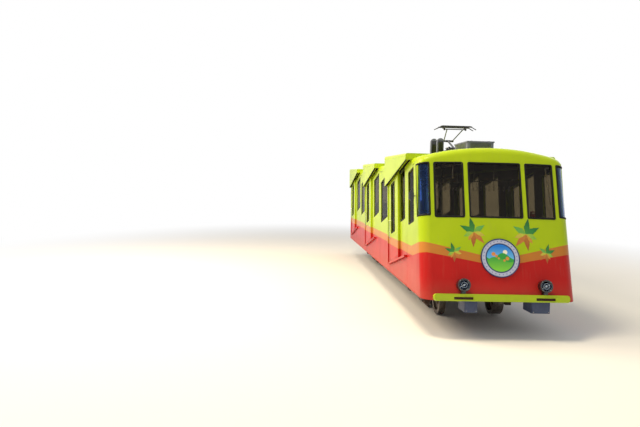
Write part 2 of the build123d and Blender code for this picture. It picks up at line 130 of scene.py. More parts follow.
# Studio: pale floor, white backdrop, broad warm lamps on the left and soft white ones around.
studio = {"floor": "#E9E8E5", "skyStrength": 0.50, "size": (120, 180),
          "fadeScale": (0.06, 0.035, 0), "fade": (0.35, 1.0),
          "lamps": {  # place, aim, size, power, colour
              "sideLamp": ((-13, -0.5, 11.5), (0, -1, 2), 7.0, 2650.0, (1.0, 0.82, 0.58)),
              "topLamp": ((-4.5, -6.2, 14), (0, -5.5, 3), 4.0, 1380.0, (1.0, 0.84, 0.58)),
              "frontLamp": ((-9, -19, 12), (0, -6, 2), 7.0, 120.0, (1, 1, 1)),
              "farLamp": ((12, 8, 10), (0, 2, 2), 8.0, 300.0, (1, 1, 1))}}
world = bpy.data.worlds.new("studio")
bpy.context.scene.world = world
world.use_nodes = True
add = partial(addNode, world.node_tree)
strength = add("ShaderNodeMapRange", {"Value": seenDirectly(add), "To Min": studio["skyStrength"]})
feed(world.node_tree.nodes["Background"], {"Color": (1, 1, 1, 1), "Strength": strength})
for name, (place, aim, size, power, colour) in studio["lamps"].items():
    lamp = newObject(name, bpy.data.lights.new(name, "AREA"))
    lamp.data.energy, lamp.data.size, lamp.data.color = power, size, colour
    lamp.location = place
    lamp.rotation_euler = (Vector(aim) - Vector(place)).to_track_quat("-Z", "Y").to_euler()

wide, far = studio["size"]
floorMesh = bpy.data.meshes.new("studioFloor")
floorMesh.from_pydata([(-wide, -60, 0), (wide, -60, 0), (wide, far, 0), (-wide, far, 0)], [], [(0, 1, 2, 3)])
newObject("studioFloor", floorMesh)
# matt floor paint; far from the car it turns to the white of the backdrop, so no horizon shows
floorPaint, add, shader = newMaterial("studioFloorPaint")
feed(shader, {"Base Color": toLinear(studio["floor"]), "Roughness": 0.9})
away = add("ShaderNodeTexCoord").outputs["Object"]
away = add("ShaderNodeMapping", {"Vector": away, "Scale": studio["fadeScale"]})
away = add("ShaderNodeVectorMath", {0: away}, operation="LENGTH")
away = add("ShaderNodeMapRange", {"Value": away, "From Min": studio["fade"][0], "From Max": studio["fade"][1]},
           interpolation_type="SMOOTHSTEP")
fade = add("ShaderNodeMath", {0: away, 1: seenDirectly(add)}, operation="MULTIPLY")
glow = add("ShaderNodeEmission", {"Color": (1, 1, 1, 1), "Strength": 1.0})
merged = add("ShaderNodeMixShader", {0: fade, 1: shader, 2: glow})
feed(floorPaint.node_tree.nodes["Material Output"], {"Surface": merged})
floorMesh.materials.append(floorPaint)
print("stage: camera and studio")


# Livery: lime above, red below, and a tan band between that follows the floor line along the
# flanks and dips to a V on each face. Each paint has a deep and a light tone. Each line has its
# height at the middle of the face, its rise outwards, its highest, and its foot on the flank
# and on the uphill face.
livery = {"lime": ("#A1BC14", "#B4CB1A"), "red": ("#A81A17", "#C4211C"), "band": ("#B4702E", "#C98338"),
          "limeBar": ("#A0BC14", "#B3CB1A"), "dust": "#8B7A66",
          "lines": {"Red": (1.220, 0.190, 1.455, 1.283, 1.020), "Band": (1.342, 0.234, 1.645, 1.450, 1.134)},
          "bend": (0.6, 0.45, 10.0), "sharpness": 250.0}


def levelCoordinates(add):
    # Object coordinates in metres, the same turned to the level frame, and those split in three
    spot = add("ShaderNodeTexCoord").outputs["Object"]
    lift = carSizes["railTop"]
    place = (0, originY * cosSlope + lift * sinSlope, originY * sinSlope - lift * cosSlope)
    level = add("ShaderNodeMapping", {"Vector": spot, "Location": place, "Rotation": (carSizes["slope"], 0, 0)})
    return spot, level, add("ShaderNodeSeparateXYZ", {0: level}).outputs


def liveryMasks():
    # a group that says whether a point lies below the red line and below the band's top
    group = bpy.data.node_groups.new("liveryMasks", "ShaderNodeTree")
    add = partial(addNode, group)
    for name in livery["lines"]:
        group.interface.new_socket(name, in_out="OUTPUT", socket_type="NodeSocketFloat")
    result = add("NodeGroupOutput")
    _, _, (x, y, z) = levelCoordinates(add)
    near, far, steep = livery["bend"]
    across = add("ShaderNodeMath", {0: x}, operation="ABSOLUTE")
    nearRamp = add("ShaderNodeMath", {0: near, 1: y}, operation="SUBTRACT", use_clamp=True)
    farRamp = add("ShaderNodeMath", {0: carSizes["length"] - far, 1: y}, operation="SUBTRACT", use_clamp=True)
    for name, (middle, rise, top, flankFoot, farFoot) in livery["lines"].items():
        face = add("ShaderNodeMath", {0: across, 1: rise, 2: middle}, operation="MULTIPLY_ADD")
        face = add("ShaderNodeMath", {0: face, 1: top}, operation="MINIMUM")
        flank = add("ShaderNodeMath", {0: y, 1: tanSlope, 2: flankFoot}, operation="MULTIPLY_ADD")
        flank = add("ShaderNodeMath", {0: nearRamp, 1: -steep, 2: flank}, operation="MULTIPLY_ADD")
        uphill = add("ShaderNodeMath", {0: across, 1: rise, 2: farFoot + climb}, operation="MULTIPLY_ADD")
        uphill = add("ShaderNodeMath", {0: farRamp, 1: steep, 2: uphill}, operation="MULTIPLY_ADD")
        flank = add("ShaderNodeMath", {0: flank, 1: uphill}, operation="MINIMUM")
        edge = add("ShaderNodeMath", {0: face, 1: flank}, operation="MAXIMUM")
        depth = add("ShaderNodeMath", {0: edge, 1: z}, operation="SUBTRACT")
        below = add("ShaderNodeMath", {0: depth, 1: livery["sharpness"], 2: 0.5},
                    operation="MULTIPLY_ADD", use_clamp=True)
        feed(result, {name: below})
    return group


masks = liveryMasks()


def sprayedEnamel(name, plain=None):
    # Sprayed enamel over steel sheet: even colour, soft gloss and faint orange peel, duller
    # where road dust settles on the skirt and where rain runs down from the windows.
    material, add, shader = newMaterial(name)
    spot, level, _ = levelCoordinates(add)
    cloudy = add("ShaderNodeTexNoise", {"Vector": spot, "Scale": 1.6, "Detail": 4.0, "Roughness": 0.6})
    paints = [plain] if plain else [livery[tone] for tone in ("lime", "band", "red")]
    paints = [add("ShaderNodeMix", {0: cloudy, 6: toLinear(deep), 7: toLinear(light)}, data_type="RGBA")
              for deep, light in paints]
    paint = paints[0]
    if not plain:
        mask = add("ShaderNodeGroup", node_tree=masks).outputs
        for line, coat in (("Band", paints[1]), ("Red", paints[2])):
            paint = add("ShaderNodeMix", {0: mask[line], 6: paint, 7: coat}, data_type="RGBA")
    # rain streaks 15 to 40 mm wide, drawn long and upright
    streaks = add("ShaderNodeMapping", {"Vector": level, "Scale": (30, 30, 1.2)})
    streaks = add("ShaderNodeTexNoise", {"Vector": streaks, "Scale": 1.0, "Detail": 3.0})
    streaks = add("ShaderNodeMapRange", {"Value": streaks, "From Min": 0.56, "From Max": 0.8, "To Max": 0.1})
    # dust thickens over the lowest 0.35 m, where the skirt hangs near the ballast
    height = add("ShaderNodeSeparateXYZ", {0: spot}).outputs[2]
    low = add("ShaderNodeMapRange", {"Value": height, "From Min": 1.0, "From Max": 0.62, "To Max": 0.34})
    grains = add("ShaderNodeTexNoise", {"Vector": spot, "Scale": 9.0, "Detail": 8.0, "Roughness": 0.7})
    dust = add("ShaderNodeMath", {0: low, 1: grains}, operation="MULTIPLY")
    dust = add("ShaderNodeMath", {0: dust, 1: streaks}, operation="MAXIMUM")
    worn = add("ShaderNodeMix", {0: dust, 6: paint, 7: toLinear(livery["dust"])}, data_type="RGBA")
    dull = add("ShaderNodeMapRange", {"Value": dust, "To Min": 0.3, "To Max": 0.85})
    # orange peel of about 4 mm and the slow waves of 1.5 mm sheet
    peel = add("ShaderNodeTexNoise", {"Vector": spot, "Scale": 240.0, "Detail": 2.0})
    waves = add("ShaderNodeTexNoise", {"Vector": spot, "Scale": 2.4, "Detail": 1.0})
    slow = add("ShaderNodeBump", {"Height": waves, "Strength": 0.25, "Distance": 0.02})
    bump = add("ShaderNodeBump", {"Height": peel, "Strength": 0.04, "Distance": 0.001, "Normal": slow})
    feed(shader, {"Base Color": worn, "Roughness": dull, "Normal": bump, "Specular IOR Level": 0.15})
    return material


def workedSurface(name, colours, roughness, metallic=0.0, grain=40.0, bumpDepth=0.0006, coat=0.0,
                  stretch=(1, 1, 1), gloss=0.5):
    # A surface whose two colours, roughness range and grain come from its finish.
    material, add, shader = newMaterial(name)
    spot = add("ShaderNodeTexCoord").outputs["Object"]
    fine = add("ShaderNodeMapping", {"Vector": spot, "Scale": stretch})
    fine = add("ShaderNodeTexNoise", {"Vector": fine, "Scale": grain, "Detail": 6.0, "Roughness": 0.65})
    broad = add("ShaderNodeTexNoise", {"Vector": spot, "Scale": grain / 9, "Detail": 3.0})
    mixed = add("ShaderNodeMath", {0: fine, 1: broad}, operation="ADD")
    mixed = add("ShaderNodeMapRange", {"Value": mixed, "From Min": 0.7, "From Max": 1.3})
    (deep, light), (glossy, matt) = colours, roughness
    feed(shader, {
        "Base Color": add("ShaderNodeMix", {0: mixed, 6: toLinear(deep), 7: toLinear(light)}, data_type="RGBA"),
        "Roughness": add("ShaderNodeMapRange", {"Value": mixed, "To Min": glossy, "To Max": matt}),
        "Normal": add("ShaderNodeBump", {"Height": fine, "Strength": 0.5, "Distance": bumpDepth}),
        "Metallic": metallic, "Coat Weight": coat, "Specular IOR Level": gloss})
    return material


def glazing(name, tint, roughness=0.02, index=1.5, mirrored="#FFFFFF"):
    # Toughened glass: clear and even, with a film of dust that catches the light at the edges.
    material, add, shader = newMaterial(name)
    spot = add("ShaderNodeTexCoord").outputs["Object"]
    film = add("ShaderNodeTexNoise", {"Vector": spot, "Scale": 3.0, "Detail": 6.0})
    haze = {"From Min": 0.4, "From Max": 0.8, "To Min": roughness, "To Max": roughness + 0.06}
    deep, light = tint
    feed(shader, {
        "Base Color": add("ShaderNodeMix", {0: film, 6: toLinear(deep), 7: toLinear(light)}, data_type="RGBA"),
        "Roughness": add("ShaderNodeMapRange", {"Value": film, **haze}),
        "Normal": add("ShaderNodeBump", {"Height": film, "Strength": 0.02, "Distance": 0.002}),
        "Transmission Weight": 1.0, "IOR": index, "Specular Tint": toLinear(mirrored)})
    return material


finishes = {
    "livery": sprayedEnamel("sprayedEnamelLivery"),
    "limeBar": sprayedEnamel("sprayedEnamelLime", livery["limeBar"]),
    # red enamel rubbed by the doors
    "redRail": workedSurface("sprayedEnamelRed", ("#8E1512", "#B21E1A"), (0.3, 0.55), coat=0.2),
    # toughened clear glass, tinted brown and dark as painted shade and a painted brown reflection, for the
    # unlit cabin behind it
    "clearGlass": glazing("toughenedGlass", ("#958A74", "#AFA48C"), index=1.2),
    # the same glass, darker still as painted shade, with a low index so it barely reflects; the flank keeps
    # dark panes at a low angle
    "shadedSideGlass": glazing("sideGlassPaintedShade", ("#787262", "#8E8775"), index=1.03),
    # bent glass, its blue a painted reflection of sky in both its tint and its gloss, darker than the flat
    # panes
    "bentGlass": glazing("bentGlassSkyReflection", ("#5F86C4", "#76A0DC"), index=1.45, mirrored="#7FA4E6"),
    # pressed lamp glass, thin and clear over the bowl
    "lampGlass": glazing("pressedLampGlass", ("#DDE4EA", "#F2F5F7"), 0.0, index=1.25, mirrored="#A8BCE0"),
    # extruded EPDM: matt black with a chalky bloom
    "rubber": workedSurface("extrudedRubber", ("#0A0A0B", "#161617"), (0.55, 0.8), grain=90, gloss=0.2),
    # semi-gloss chassis paint over welded steel, dusty on top
    "chassisPaint": workedSurface("brushedChassisPaint", ("#17181A", "#2C2A27"), (0.45, 0.85), grain=14),
    # brushed enamel on the hung boxes, its brush marks slightly uneven in gloss; its blue-grey is laid dark as
    # painted shade under the car
    "blueGrey": workedSurface("brushedEnamelBlueGrey", ("#323F60", "#414F72"), (0.4, 0.6), grain=18),
    # cast and forged steel, brown with brake dust
    "castSteel": workedSurface("castSteelRusted", ("#2A2320", "#5A4030"), (0.6, 0.95), 0.3, 55, 0.002),
    # rolled tyre: bright band on the tread, brown elsewhere
    "wheelSteel": workedSurface("rolledWheelSteel", ("#4B4038", "#8B857E"), (0.35, 0.6), 0.85, 30),
    # galvanised sheet gone dull, with a faint spangle
    "roofGrey": workedSurface("galvanisedSheet", ("#5C5F72", "#828599"), (0.45, 0.7), 0.35, 26),
    # stoved black enamel: even and glossy
    "blackPaint": workedSurface("blackGlossEnamel", ("#0D0E10", "#1D1F22"), (0.2, 0.4), grain=30, coat=0.4),
    # moulded phenolic lining, dull grey-brown and unlit
    "lining": workedSurface("mouldedWallLining", ("#6A6257", "#7D7568"), (0.6, 0.8), grain=30),
    # oiled beech slats, darker along the grain
    "varnishedWood": workedSurface("varnishedBeechSlats", ("#6E4526", "#A3703F"), (0.3, 0.5), grain=30,
                                   stretch=(0.15, 3, 3), coat=0.3),
    # opal acrylic: white and slightly glossy
    "lampDiffuser": workedSurface("opalAcrylic", ("#E4E6EC", "#F4F4F6"), (0.25, 0.4), grain=20),
    # painted shade: near-black paint on the sheets in the unlit hollows, almost no return of light
    "hollowShadeBlack": workedSurface("paintedHollowShade", ("#070707", "#121110"), (0.7, 0.95), gloss=0.1),
    # painted shade: dark red-brown for the shadow inside the bumper slots
    "slotShadeBrown": workedSurface("slotPaintedShade", ("#2B130D", "#44221A"), (0.6, 0.9), grain=60),
    # brown salt glaze on porcelain: glassy, with soft mottling
    "brownGlaze": workedSurface("glazedPorcelain", ("#4A2318", "#6B3524"), (0.08, 0.2), grain=20, coat=0.8),
    # moulded seat shells, lightly grained, and rolled vinyl on the treads with fine flecks
    "seatPlastic": workedSurface("mouldedSeatPlastic", ("#3E4A57", "#566472"), (0.4, 0.6), grain=120),
    "floorVinyl": workedSurface("rolledVinylFloor", ("#4C4B47", "#64625C"), (0.55, 0.8), grain=160),
    # pressed laminate, plain grey and matt so the desk doesn't mirror in the glass
    "deskGrey": workedSurface("mouldedDeskLaminate", ("#5D6166", "#74787D"), (0.45, 0.6), grain=70),
    # polished stainless tube, bright where hands rub it
    "steelTube": workedSurface("polishedStainlessTube", ("#B8B8B4", "#D6D6D2"), (0.12, 0.3), 1.0, 60),
    # reflector bowl, its silver painted dark as painted shade: a dark mirror with sharp glints
    "silvered": workedSurface("reflectorPaintedShade", ("#10151F", "#20293A"), (0.03, 0.06), 1.0, 8, 0.00002),
    # silvered glass in the driving mirrors: bright and true
    "mirror": workedSurface("silveredMirrorGlass", ("#C9CED6", "#E2E6EC"), (0.02, 0.05), 1.0, 8, 0.00002),
    # pressed carbon strip, grey-black with a dull shine where the wire runs
    "carbon": workedSurface("pressedCarbonStrip", ("#1A1A1B", "#3B3A38"), (0.35, 0.6), 0.4, 80),
}

# The CAD nodes of each finish, by how their names start; the first finish that fits is taken.
nodeFinish = {
    "shadedSideGlass": ("door_glass", "side_window"), "clearGlass": ("end_window",),
    "bentGlass": ("corner_window",), "limeBar": ("bumper_bars",),
    "livery": ("door", "front_end", "rear_end", "side_panels", "roof_skin"),
    "roofGrey": ("roof",), "lampGlass": ("headlamp_lenses",), "carbon": ("pantograph_head",),
    "brownGlaze": ("pantograph_insulators",), "blueGrey": ("sill_boxes",), "wheelSteel": ("wheelset",),
    "blackPaint": ("driving_mirrors", "round_plates", "headlamp_housings", "pantograph"),
    "chassisPaint": ("sole_bars", "cross_members", "bogie"), "steelTube": ("grab_poles",),
    "castSteel": ("haul_rope", "axle_boxes", "rail_clamp"), "floorVinyl": ("stepped_floor",),
    "seatPlastic": ("benches",), "deskGrey": ("driving_desks",),
}
for name, node in nodes.items():
    finish = next(finish for finish, starts in nodeFinish.items() if name.startswith(starts))
    for slot in node.material_slots:
        slot.material = finishes[finish]
print("stage: finishes on the CAD nodes")


def levelPlace(x, y, z):
    return levelToRow @ Vector((x, y, z))


def levelTurn(x, y, z):
    # a direction from the level frame
    return levelToRow.to_3x3() @ Vector((x, y, z))


graph = bpy.context.evaluated_depsgraph_get()
surfaces = {end: BVHTree.FromObject(nodes[f"{end}_end_shell"], graph) for end in ends}


def onEnd(end, start, direction=(0, 1, 0)):
    # where a line drawn at the downhill end meets an end moulding, and which way that faces
    turn, drop = ends[end]
    start = turn @ levelPlace(start[0], start[1], start[2] - drop)
    place, facing, _, _ = surfaces[end].ray_cast(start, turn.to_3x3() @ levelTurn(*direction))
    return place, facing


# Geometry Nodes trees. Each grows its pieces on a guide mesh whose points carry the way
# that the surface faces.
def startTree(name, sizes):
    tree = bpy.data.node_groups.new(name, "GeometryNodeTree")
    tree.interface.new_socket("Geometry", in_out="INPUT", socket_type="NodeSocketGeometry")
    for label, value in sizes.items():
        kind = "NodeSocketInt" if isinstance(value, int) else "NodeSocketFloat"
        tree.interface.new_socket(label, in_out="INPUT", socket_type=kind).default_value = value
    tree.interface.new_socket("Material", in_out="INPUT", socket_type="NodeSocketMaterial")
    tree.interface.new_socket("Geometry", in_out="OUTPUT", socket_type="NodeSocketGeometry")
    add = partial(addNode, tree)
    facing = add("GeometryNodeInputNamedAttribute", {"Name": "facing"}, data_type="FLOAT_VECTOR")
    return add, add("NodeGroupInput").outputs, facing


def endTree(add, geometry, given, smooth=True):
    real = add("GeometryNodeRealizeInstances", {"Geometry": geometry})
    shaded = add("GeometryNodeSetShadeSmooth", {"Geometry": real, "Shade Smooth": smooth})
    painted = add("GeometryNodeSetMaterial", {"Geometry": shaded, "Material": given["Material"]})
    return add("NodeGroupOutput", {"Geometry": painted}).id_data


def swept(add, given, facing, section):
    # the guide's edges swept by a section, whose x axis turns to the way that the surface faces
    line = add("GeometryNodeMeshToCurve", {"Mesh": given["Geometry"]})
    line = add("GeometryNodeSetCurveNormal", {"Curve": line, "Normal": facing}, mode="FREE")
    return add("GeometryNodeCurveToMesh", {"Curve": line, "Profile Curve": section, "Fill Caps": True})


def stripTree():
    # a moulded strip, seam bead or bar, wide on the surface and flat away from it
    add, given, facing = startTree("mouldedStrip", {"Width": 0.028, "Height": 0.012, "Corners": 8})
    ring = add("GeometryNodeCurvePrimitiveCircle", {"Resolution": given["Corners"], "Radius": 0.5})
    size = add("ShaderNodeCombineXYZ", {0: given["Height"], 1: given["Width"], 2: 1.0})
    section = add("GeometryNodeTransform", {"Geometry": ring, "Scale": size})
    return endTree(add, swept(add, given, facing, section), given)


def studTree(name, domed):
    # a rivet or bolt head on each point of the guide
    add, given, facing = startTree(name, {"Radius": 0.008, "Height": 0.006, "Sides": 8})
    radius, height, sides = given["Radius"], given["Height"], given["Sides"]
    if domed:
        size = add("ShaderNodeCombineXYZ", {0: radius, 1: radius, 2: height})
        head = add("GeometryNodeMeshUVSphere", {"Segments": sides, "Rings": 5, "Radius": 1.0})
        head = add("GeometryNodeTransform", {"Geometry": head, "Scale": size})
    else:
        top = add("ShaderNodeMath", {0: radius, 1: 0.86}, operation="MULTIPLY")
        head = add("GeometryNodeMeshCone",
                   {"Vertices": sides, "Radius Top": top, "Radius Bottom": radius, "Depth": height})
    turn = add("FunctionNodeAlignRotationToVector", {"Vector": facing}, axis="Z")
    heads = add("GeometryNodeInstanceOnPoints",
                {"Points": given["Geometry"], "Instance": head, "Rotation": turn})
    return endTree(add, heads, given, domed)


def rowTree():
    # a flat slat on the guide's edges, repeated at an even pitch
    steps = ("StepX", "StepY", "StepZ")
    sizes = {"Width": 0.03, "Height": 0.006, "Count": 8, **dict.fromkeys(steps, 0.0)}
    add, given, facing = startTree("slatRow", sizes)
    section = add("GeometryNodeCurvePrimitiveQuadrilateral",
                  {"Width": given["Height"], "Height": given["Width"]})
    slat = swept(add, given, facing, section)
    step = add("ShaderNodeCombineXYZ", {n: given[label] for n, label in enumerate(steps)})
    places = add("GeometryNodeMeshLine", {"Count": given["Count"], "Offset": step})
    slats = add("GeometryNodeInstanceOnPoints", {"Points": places, "Instance": slat})
    return endTree(add, slats, given, False)


trees = {"strip": stripTree(), "row": rowTree(),
         "rivet": studTree("rivetHeads", True), "bolt": studTree("boltHeads", False)}


def guide(place, points, facing, closed=False):
    # a line for a tree to grow on, its points in a place's own frame
    return [(place @ Vector(point), Vector(facing)) for point in points], closed


def studs(place, points, facing):
    # a guide of one point for each stud
    return [guide(place, [point], facing) for point in points]


def boltCircle(place, count, radius, height, start=0):
    # studs round the z axis of a place
    angles = [math.radians(start + 360 * k / count) for k in range(count)]
    out = place.to_3x3() @ Vector((0, 0, 1))
    return studs(place, [(radius * math.cos(a), radius * math.sin(a), height) for a in angles], out)


def guideMesh(name, lines):
    spots, edges, facings = [], [], []
    for line, closed in lines:
        first = len(spots)
        spots += [place for place, _ in line]
        facings += [part for _, facing in line for part in facing]
        edges += [(first + n, first + n + 1) for n in range(len(line) - 1)]
        if closed:
            edges.append((len(spots) - 1, first))
    mesh = bpy.data.meshes.new(name)
    mesh.from_pydata(spots, edges, [])
    mesh.attributes.new("facing", "FLOAT_VECTOR", "POINT").data.foreach_set("vector", facings)
    return mesh


def placePiece(name, mesh, body="car_body", finish=None):
    piece = newObject(name, mesh)
    if finish:
        mesh.materials.append(finishes[finish])
    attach(piece, body)
    return piece


def grow(name, kind, lines, finish, body="car_body", **sizes):
    # runs a tree on a guide and keeps the result as a plain mesh that rides the body
    carrier = newObject(name + "Guide", guideMesh(name + "Guide", lines))
    modifier = carrier.modifiers.new("grow", "NODES")
    modifier.node_group = trees[kind]
    inputs = [item for item in trees[kind].interface.items_tree if item.in_out == "INPUT"]
    sockets = {item.name: item.identifier for item in inputs}
    for label, value in sizes.items():
        modifier[sockets[label[0].upper() + label[1:]]] = value
    modifier[sockets["Material"]] = finishes[finish]
    mesh = bpy.data.meshes.new_from_object(carrier.evaluated_get(bpy.context.evaluated_depsgraph_get()))
    mesh.name = name
    carrier.modifiers.remove(modifier)
    bpy.data.objects.remove(carrier)
    return placePiece(name, mesh, body)


def around(middle, half):
    return middle - half, middle + half


def onSide(sign, xs):
    # values across the car, for its left (-1) or its right (1)
    return [sign * x for x in xs]


def roundedLoop(a0, a1, b0, b1, radius, steps=3):
    # corners of a rounded rectangle in two coordinates, in order
    loop = []
    for ca, cb, start in ((a1 - radius, b1 - radius, 0), (a0 + radius, b1 - radius, 90),
                          (a0 + radius, b0 + radius, 180), (a1 - radius, b0 + radius, 270)):
        for n in range(steps + 1):
            angle = math.radians(start + 90 * n / steps)
            loop.append((ca + radius * math.cos(angle), cb + radius * math.sin(angle)))
    return loop


def split(loop, longest=0.12):
    # more points on long runs, so a line follows a bent surface
    full = []
    for n, (a, b) in enumerate(loop):
        c, d = loop[(n + 1) % len(loop)]
        parts = max(1, math.ceil(math.hypot(c - a, d - b) / longest))
        full += [(a + (c - a) * k / parts, b + (d - b) * k / parts) for k in range(parts)]
    return full


# Window gaskets: extruded rubber pressed over the edge of each opening. The bent panes are
# drawn by angles round the corner, from the face towards the flank.
gaskets = {"width": 0.034, "height": 0.018, "flat": 0.0055, "outside": 0.006, "corner": 0.018,
           "endWindows": ((-1.055, -0.572), (-0.455, 0.455), (0.572, 1.055)), "endHeights": (2.090, 3.058),
           "bentAxis": (1.114, 0.280), "bentArc": (math.asin(0.042 / 0.223), math.pi / 2 - 0.023),
           "bentHeights": (2.122, 3.058), "sideHeight": 0.988,
           "sideWindows": ((0.717, 1.187, 2.085, (0,)), (1.569, 2.040, 2.263, (0,)),
                           (3.630, 4.725, 2.636, (0, 1)), (5.109, 6.000, 2.963, (0, 1))),
           "doorWindow": (2.500, 2.920, 2.130, 3.190), "doorFace": 1.380}


def gasketLoop(a0, a1, b0, b1):
    out = gaskets["outside"]
    return roundedLoop(a0 - out, a1 + out, b0 - out, b1 + out, gaskets["corner"])


def bentPlace(end, side, angle, z):
    # on a bent corner of an end moulding
    (axisX, axisY), (creaseY, creaseZ) = gaskets["bentAxis"], carSizes["crease"]
    out = Vector((side * math.sin(angle), -math.cos(angle), 0))
    lean = (z - ends[end][1] - creaseZ) * carSizes["upperRake"] + creaseY
    return onEnd(end, Vector((side * axisX, axisY + lean, z)) + out, -out)


frames, sideFrames = [], []
for end in ends:
    for x0, x1 in gaskets["endWindows"]:
        loop = split(gasketLoop(x0, x1, *gaskets["endHeights"]))
        frames.append(([onEnd(end, (x, -3, z)) for x, z in loop], True))
    for side in (-1, 1):
        (low, high), out = gaskets["bentHeights"], gaskets["outside"]
        loop = split(roundedLoop(*gaskets["bentArc"], low - out, high + out, gaskets["corner"]), 0.1)
        frames.append(([bentPlace(end, side, angle, z) for angle, z in loop], True))
for y0, y1, sill, modules in gaskets["sideWindows"]:
    loop = gasketLoop(y0, y1, sill, sill + gaskets["sideHeight"])
    for k in modules:
        for _, sign in flanks:
            points = [(sign * carSizes["halfWidth"], y, z) for y, z in loop]
            sideFrames.append(guide(doorPlaces[k], points, (sign, 0, 0), True))
grow("windowGaskets", "strip", frames, "rubber", width=gaskets["width"], height=gaskets["height"])
grow("sideWindowGaskets", "strip", sideFrames, "rubber", width=gaskets["width"], height=gaskets["flat"])
for side, sign in flanks:
    loop = [(sign * gaskets["doorFace"], y, z) for y, z in gasketLoop(*gaskets["doorWindow"])]
    for n, place in enumerate(doorPlaces, 1):
        grow(f"doorWindowGasket_{side}_{n}", "strip", [guide(place, loop, (sign, 0, 0), True)], "rubber",
             f"sliding_door_{side}_{n}", width=gaskets["width"], height=gaskets["height"])
print("stage: gaskets")


def lathe(bm, profile, place, sides=32, material=0):
    # spins (radius, height) points round the z axis of a place and closes the seam
    rings, turns = [], [2 * math.pi * k / sides for k in range(sides)]
    for radius, height in profile:
        spots = [Vector((radius * math.cos(a), radius * math.sin(a), height))
                 for a in turns[:1 if radius < 1e-6 else sides]]
        rings.append([bm.verts.new(place @ spot) for spot in spots] * (sides // len(spots)))
    for low, high in zip(rings, rings[1:]):
        for k in range(sides):
            m = (k + 1) % sides
            corners = list(dict.fromkeys((low[k], low[m], high[m], high[k])))
            if len(corners) > 2:
                bm.faces.new(corners).material_index = material


def block(bm, xs, ys, zs, place, rounding=0.0, material=0):
    # a block between two values on each axis, in either order, with rounded edges
    low, high = (Vector(side) for side in zip(*(sorted(pair) for pair in (xs, ys, zs))))
    made = bmesh.ops.create_cube(bm, size=1.0)["verts"]
    for vert in made:
        vert.co = vert.co * (high - low) + (high + low) / 2
    if rounding:
        edges = list({edge for vert in made for edge in vert.link_edges})
        done = bmesh.ops.bevel(bm, geom=edges, offset=rounding, segments=2, affect="EDGES", profile=0.7)
        rounded = {vert for face in done["faces"] for vert in face.verts}
        made = list(rounded | {vert for vert in made if vert.is_valid})
    bmesh.ops.transform(bm, matrix=place, verts=made)
    for face in {face for vert in made for face in vert.link_faces}:
        face.material_index = material


def plateBetween(bm, outline, x0, x1, place):
    # a plate with its outline in y and z, from one x to another
    rings = [[bm.verts.new(place @ Vector((x, y, z))) for y, z in outline] for x in (x0, x1)]
    bm.faces.new(rings[0])
    bm.faces.new(rings[1][::-1])
    for n in range(len(outline)):
        m = (n + 1) % len(outline)
        bm.faces.new((rings[0][n], rings[1][n], rings[1][m], rings[0][m]))


def finishMesh(bm, name, finish, body="car_body", smooth=40.0, more=()):
    bmesh.ops.remove_doubles(bm, verts=bm.verts, dist=1e-6)
    bmesh.ops.recalc_face_normals(bm, faces=bm.faces)
    mesh = bpy.data.meshes.new(name)
    bm.to_mesh(mesh)
    bm.free()
    mesh.shade_smooth()
    mesh.set_sharp_from_angle(angle=math.radians(smooth))
    piece = placePiece(name, mesh, body, finish)
    for extra in more:
        mesh.materials.append(finishes[extra])
    return piece


def pointing(place, direction, across=(1, 0, 0)):
    # a matrix whose z axis points along a direction
    z = Vector(direction).normalized()
    x = Vector(across)
    x = (x - z * x.dot(z)).normalized()
    return Matrix.Translation(place) @ Matrix((x, z.cross(x), z)).transposed().to_4x4()


# Round plates: enamelled steel discs with a rolled rim. The picture is a made-up one: hills,
# a low sun, bushes and a ring of dots. Places are shares of the plate's radius.
roundPlate = {"radius": 0.338, "thick": 0.016, "x": 0.015, "z": 1.366,
              "inner": 0.70, "ring": 0.76, "outer": 0.945, "dots": 28, "dotSize": 0.030,
              "navy": "#12245C", "pale": "#B6BCD2", "dot": "#6F7CB4", "bush": "#D98A3C",
              "sky": ("#6FBEEA", "#1C7AD8"), "hill": ("#7CCB3A", "#2F9A3C"),
              "sun": (0.26, 0.30, 0.115, "#F4F0D2"),
              "hills": ((5.2, 0.9, 0.16, 0.10), (4.1, 2.7, 0.13, -0.08)),  # wave, phase, rise, level
              "bushes": ((-0.34, 0.20, 0.10), (-0.20, 0.10, 0.07), (0.36, -0.02, 0.09),
                         (0.20, -0.12, 0.06), (-0.08, -0.02, 0.05))}


